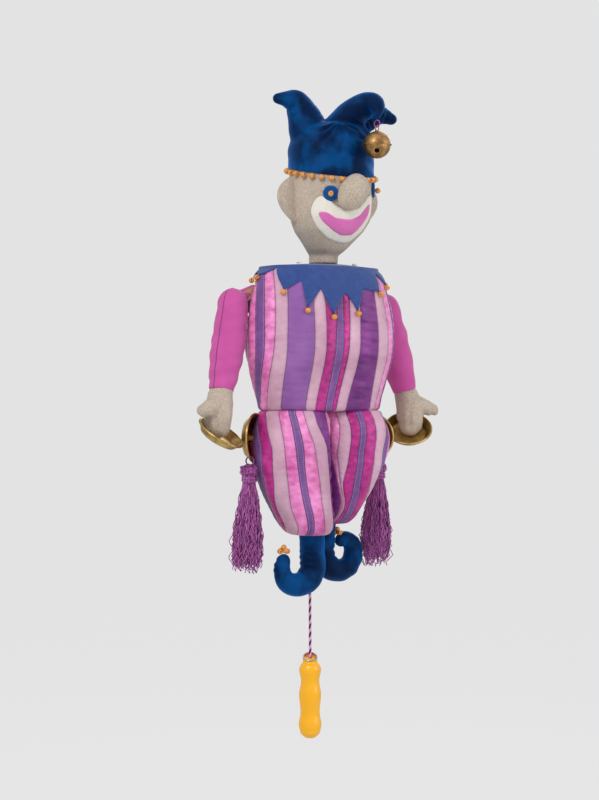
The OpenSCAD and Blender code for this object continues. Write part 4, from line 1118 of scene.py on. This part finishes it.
BEAD_D = 7.0
bead_tree = new_tree("turned_beads", "Diameter", BEAD_D * MM)
group_in = plant(bead_tree, "NodeGroupInput")
size = plant(bead_tree, "ShaderNodeMath", {0: group_in.outputs["Diameter"]}, {1: 0.27},
             {"operation": "MULTIPLY"})
wall = plant(bead_tree, "ShaderNodeMath", {0: group_in.outputs["Diameter"]}, {1: 0.235},
             {"operation": "MULTIPLY"})
around = plant(bead_tree, "GeometryNodeCurvePrimitiveCircle", {"Radius": size.outputs[0]}, {"Resolution": 16})
section = plant(bead_tree, "GeometryNodeCurvePrimitiveCircle", {"Radius": wall.outputs[0]}, {"Resolution": 8})
ring = plant(bead_tree, "GeometryNodeCurveToMesh",
             {"Curve": around.outputs[0], "Profile Curve": section.outputs[0]})
tall = plant(bead_tree, "GeometryNodeTransform", {"Geometry": ring.outputs[0]}, {"Scale": (1, 1, 2.1)})
axis = plant(bead_tree, "GeometryNodeInputNamedAttribute", None, {"Name": "axis"},
             {"data_type": "FLOAT_VECTOR"})
turn = plant(bead_tree, "FunctionNodeAlignRotationToVector", {"Vector": axis.outputs[0]}, None, {"axis": "Z"})
on_points = plant(bead_tree, "GeometryNodeInstanceOnPoints",
                  {"Points": group_in.outputs[0], "Instance": tall.outputs[0], "Rotation": turn.outputs[0]})
finish_tree(bead_tree, on_points.outputs[0], group_in.outputs["Material"])


def beads(name, places, axes, body, node):
    """One piece of wooden beads, each at its place with its hole along its axis."""
    mesh = make_mesh(name, places, [])
    held = mesh.attributes.new("axis", "FLOAT_VECTOR", "POINT")
    held.data.foreach_set("vector", np.asarray(axes, float).ravel())
    piece = grow(name, mesh, bead_tree, {"Diameter": BEAD_D * MM}, bead_wood)
    face_outward(piece)
    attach(piece, body)
    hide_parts(node)
    print(name, len(places), "beads")


HAT_EDGE, HAT_TILT, HAT_TURN = 144.5, math.radians(12.5), -5.0
HAT_BEADS = 28


def hat_edge(turn):
    """Height of the hat's tilted edge at a turn round the head."""
    return HAT_EDGE - HEAD_D * math.tan(HAT_TILT) * np.cos(np.radians(turn - HAT_TURN))


turns = 360 * (np.arange(1, HAT_BEADS - 1) + 0.5) / HAT_BEADS
rad = np.radians(turns)
beads("hat_edge_beads", on_head(turns, hat_edge(turns) - BEAD_D / 2 - 0.8, BEAD_D / 2 + 0.6),
      np.stack([np.cos(rad), np.sin(rad), 0.25 * np.sin(turns * 3)], -1), "trunk", "hat_beads")
eye_places = [list(at_head(t, z - 1) @ Vector((0, -(3 + BEAD_D / 2 + 0.05), 0))) for t, z in EYES]
eye_axes = [(math.sin(math.radians(t)) * .8, -math.cos(math.radians(t)) * .8, .3) for t, _ in EYES]
beads("eye_pupil_beads", eye_places, eye_axes, "trunk", "eye_beads")

# %% [markdown]
# ## Collar
# One piece of navy felt lies round the neck and falls over the torso in fourteen points. It is modelled on
# the torso's own surface, lifted by the felt's thickness, with each point's tip lifting a little more.

# %% Collar
NECK_R = 18.8
# turn and height of each point's tip, then of the valley after it
COLLAR_TIPS = [(-93.5, 11), (-51.5, -10), (-24, -33), (-4.5, -40.5), (6, -35.5), (31.5, -9), (52, 1), (78, 6),
               (106, 7),
               (134, 7), (162, 7), (190, 7), (218, 7), (246, 8)]
COLLAR_VALLEYS = [(-72, 18.6), (-32, 1), (-13, -8), (0.5, -13), (12, -7), (37, 16), (64, 16), (92, 16),
                  (120, 14),
                  (148, 14), (176, 14), (204, 14), (232, 14), (257, 16)]


def on_torso(turn, z, out):
    """A point over the torso, at a turn and height, out beyond the ribbons."""
    turn, z, out = np.broadcast_arrays(np.asarray(turn, float), np.asarray(z, float), np.asarray(out, float))
    s = np.clip((TORSO_TOP - z) / TORSO_H, 0, 1)
    shape = np.array(TORSO_SHAPE)
    a = np.radians(turn)
    front = np.cos(a) > 0
    n = np.where(front, 2.8, 4)
    w = TORSO_HALF_W * np.interp(s, shape[:, 0], shape[:, 1]) + out
    d = np.where(front, TORSO_FRONT * np.interp(s, shape[:, 0], shape[:, 2]), TORSO_BACK) + out
    x, y = np.sin(a), -np.cos(a)
    return np.stack([w * np.sign(x) * np.abs(x) ** (2 / n), MID_Y + d * np.sign(y) * np.abs(y) ** (2 / n), z],
                    -1)


corners = [c for pair in zip(COLLAR_TIPS, COLLAR_VALLEYS) for c in pair]
corners.append((COLLAR_TIPS[0][0] + 360, COLLAR_TIPS[0][1]))
collar_turns, hem, point = [], [], []
for k, ((t0, z0), (t1, z1)) in enumerate(zip(corners, corners[1:])):
    share = np.arange(9) / 9
    collar_turns += (t0 + (t1 - t0) * share).tolist()
    hem += (z0 + (z1 - z0) * share).tolist()
    point += (share if k % 2 else 1 - share).tolist()
collar_turns, hem, point = np.array(collar_turns), np.array(hem), np.array(point)
rad = np.radians(collar_turns)
neck = NECK_R + 1.5
lines = [np.stack([neck * np.sin(rad), NECK_Y - neck * np.cos(rad), np.full(len(rad), TORSO_TOP + 6)], -1)]
edge = on_torso(collar_turns, TORSO_TOP, 2.5)
edge[:, 2] = TORSO_TOP + 2.6
lines += [lines[0] * (1 - f) + edge * f for f in (0.25, 0.5, 0.75)]
for k, line in enumerate(lines[1:4]):
    line[:, 2] += (0.7, 0.4, 0.1)[k]
lines.append(edge)
for f in np.linspace(0.06, 1, 12):
    lift = 2.6 + 0.9 * f * point + 0.35 * ripple(collar_turns, 3, 31) * f
    lines.append(on_torso(collar_turns, TORSO_TOP + (hem - TORSO_TOP) * f, lift))
cols = len(rad)
collar_points = np.concatenate(lines)
collar_faces = [(r * cols + c, (r + 1) * cols + c, (r + 1) * cols + (c + 1) % cols, r * cols + (c + 1) % cols)
                for r in range(len(lines) - 1) for c in range(cols)]
collar = new_piece("collar_felt", make_mesh("collar_felt", collar_points, collar_faces), felt_navy)
face_outward(collar)
if collar.data.polygons[3].normal.z < 0:
    collar.data.flip_normals()
thicken(collar, 1.8)
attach(collar, "trunk")
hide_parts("collar")
tip_turns, tip_heights = np.array(COLLAR_TIPS).T
rad = np.radians(tip_turns)
beads("collar_point_beads", on_torso(tip_turns, tip_heights - BEAD_D / 2 - 0.1, BEAD_D / 2 + 0.4),
      np.stack([np.cos(rad), np.sin(rad), np.full(len(rad), 0.2)], -1), "trunk", "collar_beads")

# %% [markdown]
# ## Hat
# The velvet hat is a crown with three stuffed horns. Fused as one skin it gets soft valleys. The creases
# that fan out of the valleys and ring the bent front horn are moves of the surface along its normal.

# %% Hat
CROWN_TOP = HAT_EDGE + 57


def horn(rows):
    """Rows are sideways, back from the head's middle, up from the crown's top, and radius."""
    return [(x, HEAD_Y + y, CROWN_TOP + z, r) for x, y, z, r in rows]


right_horn = horn([(-22, 6, -30, 28), (-29, 6, -11.5, 26), (-35, 6, 4.5, 23.6), (-42, 7, 20.5, 19.2),
                   (-50, 8, 30.5, 15.8), (-65, 8, 32.5, 10.2), (-76, 8, 32, 6.8)])
front_horn = horn([(2, -2, -30, 32), (6, -8, -8.5, 24.5), (16, -34, 18, 19), (25, -58, 26, 13.6),
                   (24, -70, 18, 9.6), (21, -73, 9, 5.8)])
left_horn = horn([(6, -2, -30, 32), (12, -2, -9, 22.5), (40, -14, 10, 18), (60, -24, 18, 12.6),
                  (74, -30, 13, 7.6)])
CROWN = [(124, 1.035), (164.5, 1.035), (184.5, .985), (197.5, .9), (204.5, .62)]
crown_turns = turns_of(64)
crown_rings = []
for z in np.linspace(CROWN[0][0], CROWN[-1][0], 34):
    w = through(CROWN, [z])[0][0]
    crown_rings.append(np.stack([HEAD_W * w * np.sin(crown_turns), HEAD_Y - HEAD_D * w * np.cos(crown_turns),
                                 np.full(64, z)], -1))
horn_rings = [tube_rings(path, count) for path,
              count in ((right_horn, 40), (front_horn, 50), (left_horn, 44))]
hat = fuse("hat_velvet", [crown_rings] + horn_rings, 1.7, 9, velvet)
p, n = surface_of(hat)
toward = np.array([-0.545, -0.839, 0.0])
sideways = np.array([0.839, -0.545, 0.0])


def fan(centre, first, last, folds, near, far, depth, seed):
    """Creases that fan out of a valley, seen from the front."""
    r = p - np.array(centre, float)
    across, up = r @ sideways, r[:, 2]
    angle = np.degrees(np.arctan2(up, across))
    reach = np.hypot(across, up)
    inside = smoothstep(first - 12, first + 12, angle) * (1 - smoothstep(last - 12, last + 12, angle))
    fade = smoothstep(near - 4, near + 5, reach) * (1 - smoothstep(far * 0.45, far, reach))
    wave = np.sin(np.radians(angle) * folds + ripple(reach, seed, 40))
    return depth * inside * fade * smoothstep(-20, 15, r @ toward) * wave


def rings_on(path, start, stop, wave, depth, seed, inner):
    """Creases across a horn on the side that faces inner."""
    line = smooth_path(path, 80)
    d = np.linalg.norm(p[:, None] - line[None, :, :3], axis=2)
    i = d.argmin(axis=1)
    s = np.concatenate([[0], np.cumsum(np.linalg.norm(np.diff(line[:, :3], axis=0), axis=1))])
    at, share = s[i], i / 79
    close = 1 - smoothstep(1.0, 1.35, d.min(axis=1) / line[i, 3])
    on = smoothstep(start - .1, start + .1, share) * (1 - smoothstep(stop - .1, stop + .1, share))
    side = smoothstep(-0.3, 0.8, n @ (np.array(inner) / np.linalg.norm(inner)))
    wobble = 1.4 * ripple(at + n[:, 1] * 6, seed, 18)
    return depth * close * on * side * np.sin(2 * math.pi * at / wave + wobble)


move = fan((-6, -90, 204), -165, -15, 15, 3, 46, 1.6, 2)
move += fan((48, -100, 180), 95, 205, 14, 6, 44, 1.8, 4)
move += rings_on(front_horn, .3, .85, 9, 1.5, 6, (0.5, 0, -0.8))
move += rings_on(left_horn, .45, .95, 6.5, 1.1, 8, (-0.4, -0.6, -0.2))
move += rings_on(right_horn, .45, .95, 11, 0.8, 9, (0.3, -0.5, -0.6))
move += 0.35 * ripple(p[:, 2] + 0.4 * p[:, 0], 12, 30)
move_to(hat, p + n * move[:, None])

bm = bmesh.new()
bm.from_mesh(hat.data)
up = Matrix.Rotation(math.radians(HAT_TURN), 3, "Z") @ Matrix.Rotation(HAT_TILT, 3, "X") @ Vector((0, 0, 1))
cut = bmesh.ops.bisect_plane(bm, geom=bm.verts[:] + bm.edges[:] + bm.faces[:], dist=1e-6,
                             plane_co=Vector((0, HEAD_Y, HAT_EDGE)) * MM, plane_no=up, clear_inner=True)
rim = [e for e in cut["geom_cut"] if isinstance(e, bmesh.types.BMEdge)]
bmesh.ops.holes_fill(bm, edges=rim)
bm.to_mesh(hat.data)
bm.free()
shade_smooth(hat.data)
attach(hat, "trunk")
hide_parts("hat")
print("hat faces", len(hat.data.polygons))

# %% [markdown]
# ## Arms
# A sleeve is a stuffed tube with a round shoulder and a hem at the wrist. A slot in its inner top lets the
# board's end pass while the arm swings, and a short sock of the same cloth covers the lever under it. The
# mittens are linen, with a thumb, and rest in the hollow of their cymbals.

# %% Sleeves and mittens
ARM_LEAN, ARM_FORWARD, SLEEVE_LEN = math.radians(12.5), 12.0, 114.0
SLEEVE = [(0, 19.5), (.16, 20.5), (.35, 21.6), (.6, 21.4), (.82, 18.9), (1, 15.6)]


def arm_at(side, d):
    """The point on the arm's middle line, d down from the shoulder."""
    return np.array([side * (SHOULDER_X + d * math.sin(ARM_LEAN)), SHOULDER_Y - ARM_FORWARD * d / SLEEVE_LEN,
                     SHOULDER_Z - d * math.cos(ARM_LEAN)])


def sleeve(side, name, body, node, seed):
    sides = 48
    path = [(*arm_at(side, q * SLEEVE_LEN), r) for q, r in SLEEVE]
    path = [(x - side * 1.3 * math.sin(math.pi * min(1, i / 4.5)), y, z, r) for i,
            (x, y, z, r) in enumerate(path)]
    rings = tube_rings(path, 70, sides, round_ends=(True, False))
    inward = rings[-1].mean(axis=0)
    rings = np.concatenate([rings, [inward + (rings[-1] - inward) * 0.86 + (0, 0, 0.6)]])
    middle = rings[20].mean(axis=0)
    seam_col = int(((rings[20] - middle) @ np.array([side * 0.927, -0.374, 0])).argmax())
    around = np.abs((np.arange(sides) - seam_col + sides // 2) % sides - sides // 2) * 2.7
    rows = len(rings)
    piece = skin(name, rings, sleeve_cloth, np.tile(np.arange(sides + 1) / sides, (rows, 1)),
                 np.tile(np.arange(rows)[:, None] / rows, (1, sides + 1)), np.tile(around, (rows, 1)))
    p, n = surface_of(piece)
    down = SHOULDER_Z - p[:, 2]
    low = smoothstep(60, 105, down)
    turn = np.degrees(np.arctan2(p[:, 1] - SHOULDER_Y, p[:, 0] - side * SHOULDER_X))
    move = 0.5 * ripple(down + 0.12 * turn, seed, 26) + 0.5 * low * ripple(turn, seed + 1, 40)
    move_to(piece, p + n * (move * (down < 112))[:, None])

    def over_bar(q):
        """Whether the board's end passes here at some angle of the arm."""
        if not -10.8 < q[1] < -1.2:
            return False
        for a in np.radians(np.arange(0, 61, 6)):
            ray = np.array([-side * math.cos(a), math.sin(a)])
            r = np.array([q[0] - side * SHOULDER_X, q[2] - SHOULDER_Z])
            t = max(0, r @ ray)
            if np.linalg.norm(r - t * ray) < 11.8 and t > 0:
                return True
        return False

    cut_faces(piece, over_bar)
    subdivide(piece)
    thicken(piece, 1.0)
    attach(piece, body)
    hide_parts(node)
    rise = math.radians(28)
    inner = [(side * (SHOULDER_X - d * math.cos(rise)), SHOULDER_Y, SHOULDER_Z + d * math.sin(rise), r)
             for d, r in ((4, 12), (14, 11), (24, 9.5), (34, 8.5))]
    sock = skin(name.replace("cloth", "root"), tube_rings(inner, 20, wide=0.44), sleeve_cloth,
                seam=np.full((28, 32), FAR_FROM_SEAM))
    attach(sock, body)


sleeve(RIGHT, "right_sleeve_cloth", "right_arm", "right_sleeve", 21)
sleeve(LEFT, "left_sleeve_cloth", "left_arm", "left_sleeve", 25)

CYMBAL_DEPTH, CYMBAL_T, HAND_LEN = 9.0, 1.2, 52.0
# outwards, forwards, down and radius
HAND_STEPS = [(0, 0, 0, 14.6), (1.5, 1, 6, 16), (3, 2, 13, 17), (5, 3.5, 21, 17.8), (6, 4, 29, 18),
              (6.5, 3.5, 37, 17.4), (6.5, 3, HAND_LEN - 7, 15.6)]
THUMB_STEPS = [(6, -4, -2, 12), (16, -9, -7, 11.5), (25, -12, -10, 10), (32, -13, -12, 8.2)]


def mitten(side, name, body, node, face, cymbal):
    """face is the way the cymbal's hollow looks, and cymbal its middle, from the wrist."""
    wrist = arm_at(side, SLEEVE_LEN + 0.3)
    path = [(wrist[0] + side * o, wrist[1] - f, wrist[2] - d, r) for o, f, d, r in HAND_STEPS]
    base = np.array(path[2][:3])
    thumb = [(*(base + (side * x, y, z)), r) for x, y, z, r in THUMB_STEPS]
    piece = fuse(name, [tube_rings(path, 40), tube_rings(thumb, 24, 24)], 1.5, 6, linen)
    p, n = surface_of(piece)
    below_knuckle = p[:, 2] - path[5][2]
    groove = np.exp(-(below_knuckle / 15) ** 2) * np.cos(p @ np.array([0.84, -0.55, 0]) * 2 * math.pi / 10.5)
    p = p + n * (0.8 * groove + 0.5 * ripple(p[:, 2] + 0.5 * p[:, 0], 14, 17))[:, None]
    axis = np.array(face) / np.linalg.norm(face)
    centre = wrist + np.array(cymbal)
    depth = (p - centre) @ axis + (CYMBAL_DEPTH - CYMBAL_T - 0.3)
    p = p + np.outer(np.maximum(0, -depth), axis)
    arm = arm_at(side, SLEEVE_LEN) - arm_at(side, 0)
    arm /= np.linalg.norm(arm)
    above = (p - wrist) @ arm
    p = p + np.outer(np.maximum(0, -2 - above), arm)
    move_to(piece, p)
    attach(piece, body)
    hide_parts(node)


mitten(RIGHT, "right_mitten_linen", "right_arm", "right_hand", (0.30, -0.49, 0.82), (-2.7, -5, -53))
mitten(LEFT, "left_mitten_linen", "left_arm", "left_hand", (-0.36, -0.56, 0.75), (1.8, -5, -50))

# %% [markdown]
# ## Shoes
# Velvet tubes: an ankle, a heel and a toe that curls up and back. Each carries a cluster of beads on its
# tip.

# %% Shoes and toe beads
ANKLE = {RIGHT: (-19.5, -48.3, -308.5), LEFT: (19.5, -16.5, -296.5)}
SHOE_H = 94
# outwards, up from the sole's line, and radius
SHOE = {RIGHT: [(0, SHOE_H, 17), (0, 78, 17), (0, 60, 16.5), (-1, 40, 17), (2, 28, 17), (11, 19, 16.5),
                (24, 16, 15),
                (36, 19, 14), (44, 28, 12), (46, 40, 10.5), (43.5, 48, 9)],
        LEFT: [(0, SHOE_H, 16), (0, 78, 16), (0, 60, 15.5), (-1, 40, 16), (2, 28, 16), (11, 19, 16),
               (24, 16, 15),
               (36, 19, 14.5), (45, 29, 13.5), (47.5, 42, 12.5), (42, 53, 11.3), (34, 57, 10), (28, 56, 9)]}
TIP_LEAN = {RIGHT: (0, 0, 11.1), LEFT: (-6.5, 0, 8.5)}
TOE_BEADS = [(0, 0, 5.4), (5.4, 0, .6), (-5.4, 0, .6), (0, -5.4, 1.6), (0, 5.4, 1.6)]


def shoe(side, name, body, node, bead_name, bead_node, seed):
    ankle = ANKLE[side]
    path = [(ankle[0] + side * out, ankle[1], ankle[2] - SHOE_H + up, r) for out, up, r in SHOE[side]]
    piece = skin(name, tube_rings(path, 110, 40, wide=0.95), velvet)
    p, n = surface_of(piece)
    height = p[:, 2] - ankle[2] + SHOE_H
    instep = smoothstep(-0.2, 0.8, side * n[:, 0]) * np.exp(-((height - 44) / 16) ** 2)
    move = 0.7 * instep * np.sin(height * 2 * math.pi / 8 + 1.2 * np.sin(p[:, 1] / 6))
    move += 0.4 * ripple(p[:, 2] + 0.6 * p[:, 0], seed, 19)
    move_to(piece, p + n * move[:, None])
    subdivide(piece)
    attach(piece, body)
    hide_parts(node)
    tip = np.array(path[-1][:3]) + TIP_LEAN[side]
    axes = [(q[1] + .3, -q[0], .4) for q in TOE_BEADS]
    beads(bead_name, [tip + np.array(q) for q in TOE_BEADS], axes, body, bead_node)


shoe(RIGHT, "right_shoe_velvet", "right_leg", "right_shoe", "right_toe_bead_cluster", "right_toe_beads", 61)
shoe(LEFT, "left_shoe_velvet", "left_leg", "left_shoe", "left_toe_bead_cluster", "left_toe_beads", 64)

# %% [markdown]
# ## Tassels
# A tassel is a bundle of threads, bound under its head. Each thread's line is drawn here with a seeded
# wave, and a Geometry Nodes tree gives all the lines their thickness.

# %% Thread tree and tassels
thread_tree = new_tree("spun_threads", "Radius", 0.0004)
group_in = plant(thread_tree, "NodeGroupInput")
as_curve = plant(thread_tree, "GeometryNodeMeshToCurve", {"Mesh": group_in.outputs[0]})
section = plant(thread_tree, "GeometryNodeCurvePrimitiveCircle", {"Radius": group_in.outputs["Radius"]},
                {"Resolution": 5})
swept = plant(thread_tree, "GeometryNodeCurveToMesh",
              {"Curve": as_curve.outputs[0], "Profile Curve": section.outputs[0]}, {"Fill Caps": True})
finish_tree(thread_tree, swept.outputs[0], group_in.outputs["Material"])


def threads(name, lines, radius):
    """One piece of threads, each along its own line."""
    mesh = bpy.data.meshes.new(name)
    edges, at = [], 0
    for line in lines:
        edges += [(at + i, at + i + 1) for i in range(len(line) - 1)]
        at += len(line)
    mesh.from_pydata((np.concatenate(lines) * MM).tolist(), edges, [])
    return grow(name, mesh, thread_tree, {"Radius": radius * MM}, thread)


TASSEL_TOP = {RIGHT: (-101, -26.5, -230.0), LEFT: (100, -26.5, -230.0)}
TASSEL_LEN, HEAD_H, HEAD_R, SKIRT_R = 137.0, 25.0, 11.5, 21.0
SKIRT = [(0, .34), (.2, .6), (.45, .82), (.7, 1), (.88, 1), (1, .82)]
SKIRT_THREADS, WOUND_THREADS, TIE_TURNS = 240, 40, 9
SKIRT_THREAD_R, WOUND_THREAD_R = 0.58, 1.0
SKIRT_LEAN = 7
LOOP_X, LOOP_Y, LOOP_Z, LOOP_R = 100, -26.4, -227.4, 5.4


def tassel(side, body, prefix):
    """A skirt of hanging threads, a head of wound ones, its tie and the loop it hangs by."""
    cx, cy, top = TASSEL_TOP[side]
    rng = np.random.RandomState(7 + side)
    skirt_top, length = top - HEAD_H + 3, TASSEL_LEN - HEAD_H
    lines = []
    for k in range(SKIRT_THREADS):
        a, q = rng.uniform(0, 2 * math.pi), math.sqrt(rng.uniform(0.02, 1))
        stray = k % 6 == 0
        reach = length * (rng.uniform(0.98, 1.07) if stray else rng.uniform(0.84, 1.0))
        t = np.linspace(0, 1, 26)
        r = SKIRT_R * through(SKIRT, t)[:, 0] * q * (1.0 if stray else 0.92)
        wave = (2.8 if stray else 1.9) * t ** 0.8
        x = cx + r * np.cos(a) + wave * np.sin(t * rng.uniform(24, 60) + rng.uniform(0, 6))
        y = cy + SKIRT_LEAN * t + r * np.sin(a) + wave * np.sin(t * rng.uniform(24, 60) + rng.uniform(0, 6))
        lines.append(np.stack([x, y, skirt_top - reach * t], -1))
    skirt = threads(prefix + "_tassel_threads", lines, SKIRT_THREAD_R)
    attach(skirt, body)
    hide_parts(prefix + "_tassel_skirt")
    wound = []
    for _ in range(WOUND_THREADS):
        tilt, spin = rng.uniform(0.1, 1.35), rng.uniform(0, 2 * math.pi)
        t = np.linspace(0, 2 * math.pi, 40)
        ball = np.stack([np.cos(t), np.sin(t) * math.cos(tilt), np.sin(t) * math.sin(tilt)], -1)
        ball = ball @ np.array(Matrix.Rotation(spin, 3, "Z"))
        size = np.array([HEAD_R, HEAD_R, 9.5]) * rng.uniform(0.55, 1.0)
        wound.append(np.array([cx, cy, top - 10]) + rng.uniform(-1.2, 1.2, 3) + ball * size)
    for k in range(TIE_TURNS):
        t = np.linspace(0, 2 * math.pi, 30)
        tie = 8.8 + 0.8 * math.sin(2.3 * k)
        z = top - 17.5 - 0.8 * k + 0.4 * np.sin(t + k)
        wound.append(np.stack([cx + tie * np.cos(t), cy + tie * np.sin(t), z], -1))
    t = np.linspace(0, 2 * math.pi, 40)
    across = np.array([side * 0.5878, 0.809, 0])
    wound.append(np.array([side * LOOP_X, LOOP_Y, LOOP_Z]) + LOOP_R * np.outer(np.cos(t), across)
                 + LOOP_R * np.outer(np.sin(t), (0, 0, 1)))
    head = threads(prefix + "_tassel_wound_head", wound, WOUND_THREAD_R)
    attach(head, body)
    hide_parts(prefix + "_tassel_head")


tassel(RIGHT, "right_tassel", "right")
tassel(LEFT, "left_tassel", "left")

# %% [markdown]
# ## Hard pieces
# Turned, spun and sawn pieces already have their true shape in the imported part. A smooth-shaded copy with
# sharp edges kept takes the place of each round one, and the rest just get their finish.


# %% Metal and wood
def dress(node, material, sharp=32):
    """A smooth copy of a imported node, with edges past sharp degrees kept."""
    mesh = nodes[node].data.copy()
    bm = bmesh.new()
    bm.from_mesh(mesh)
    bmesh.ops.remove_doubles(bm, verts=bm.verts, dist=2e-6)
    for f in bm.faces:
        f.smooth = True
    for e in bm.edges:
        e.smooth = len(e.link_faces) == 2 and e.calc_face_angle(0) < math.radians(sharp)
    bm.to_mesh(mesh)
    bm.free()
    piece = show(node + "_finished", mesh)
    paint(mesh, material)
    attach(piece, nodes[node]["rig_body"])
    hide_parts(node)
    return piece


for node in ("right_hip_cymbal", "left_hip_cymbal", "right_hand_cymbal", "left_hand_cymbal",
             "right_cymbal_rivet",
             "left_cymbal_rivet"):
    dress(node, brass)
dress("bell_top", bell_metal)
bell_middle = np.array([21, -136, 172.6])
BELL_TURN = math.radians(-18)
low_shell = dress("bell_bottom", bell_metal)
low_shell.data.transform(Matrix.Translation(Vector(bell_middle * MM)) @ Matrix.Rotation(BELL_TURN, 4, "Z")
                         @ Matrix.Translation(Vector(-bell_middle * MM)))
# radius and height of the two rolled rims, from below up
LIP = [(16.6, -1.2), (18.1, -1.1), (18.6, -.4), (17.6, -.1), (17.6, .1), (18.6, .4), (18.1, 1.1), (16.6, 1.2)]
t = turns_of(64)
lip = skin("bell_lip",
           [np.stack([r * np.cos(t), r * np.sin(t), 0 * t + z], -1) + bell_middle for r, z in LIP],
           bell_metal)
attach(lip, "bell")
dress("handle", enamel, 50)
dress("handle_ring", steel)
dress("bell_thread", thread)
dress("collar_snaps", steel)
FLAT_FINISH = {
    plywood: ("back_board", "cord_guide", "neck_block", "neck_dowel", "hip_blocks", "right_arm_core",
              "left_arm_core",
              "right_ankle_core", "left_ankle_core"),
    brass: ("hanger_plate", "hanger_screws", "hip_screws"),
    steel: ("shoulder_pins", "ankle_pins", "bell_pellet"),
    cord_yarn: ("draw_knot", "right_arm_string", "left_arm_string"),
}
for material, names in FLAT_FINISH.items():
    for name in names:
        paint(nodes[name].data, material)

# %% [markdown]
# ## Light and background
# A broad lamp stands up and to the left of the camera, a weaker one to the right, and the world fills the
# rest. The background's colour is its own, so that it stays pale without more light on the jester.


# %% Studio
BACKDROP = srgb(227, 227, 227)


def lamp(name, place, target, power, size):
    data = bpy.data.lights.new(name, "AREA")
    data.energy, data.size = power, size
    made = bpy.data.objects.new(name, data)
    made.location = place
    made.rotation_euler = (Vector(target) - Vector(place)).to_track_quat("-Z", "Y").to_euler()
    bpy.context.scene.collection.objects.link(made)


lamp("key", (-1.9, -1.2, 1.3), (0, -0.04, -0.1), 30, 0.9)
lamp("fill", (1.3, -2.0, 0.4), (0, -0.04, -0.2), 16, 1.4)
lamp("rim", (1.4, 0.9, 0.9), (0, -0.04, 0), 6, 0.8)

world = bpy.data.worlds.new("world")
bpy.context.scene.world = world
sky = Nodes(world)
seen = sky.node("ShaderNodeMath", {0: sky.node("ShaderNodeLightPath", output="Is Camera Ray"),
                                   1: sky.node("ShaderNodeLightPath", output="Is Glossy Ray")},
                {"operation": "MAXIMUM"})
soft_light = sky.node("ShaderNodeBackground", {"Color": (1, 1, 1, 1), "Strength": 0.6})
backdrop = sky.node("ShaderNodeBackground", {"Color": BACKDROP, "Strength": 1.0})
sky.end("ShaderNodeOutputWorld", sky.node("ShaderNodeMixShader", {0: seen, 1: soft_light, 2: backdrop}))

floor_finish = Finish("floor")
camera_ray = floor_finish.node("ShaderNodeLightPath", output="Is Camera Ray")
matte = floor_finish.node("ShaderNodeBsdfDiffuse", {"Color": BACKDROP})
glow = floor_finish.node("ShaderNodeEmission", {"Color": srgb(233, 233, 233)})
mixed = floor_finish.node("ShaderNodeMixShader", {0: camera_ray * 0.86, 1: matte, 2: glow})
floor_finish.end("ShaderNodeOutputMaterial", mixed)
FLOOR_HALF, FLOOR_Z = 12000, -900
floor_corners = [(x * FLOOR_HALF, y * FLOOR_HALF, FLOOR_Z) for x, y in ((-1, -1), (1, -1), (1, 1), (-1, 1))]
floor = new_piece("floor", make_mesh("floor", floor_corners, [(0, 1, 2, 3)]), floor_finish.material)
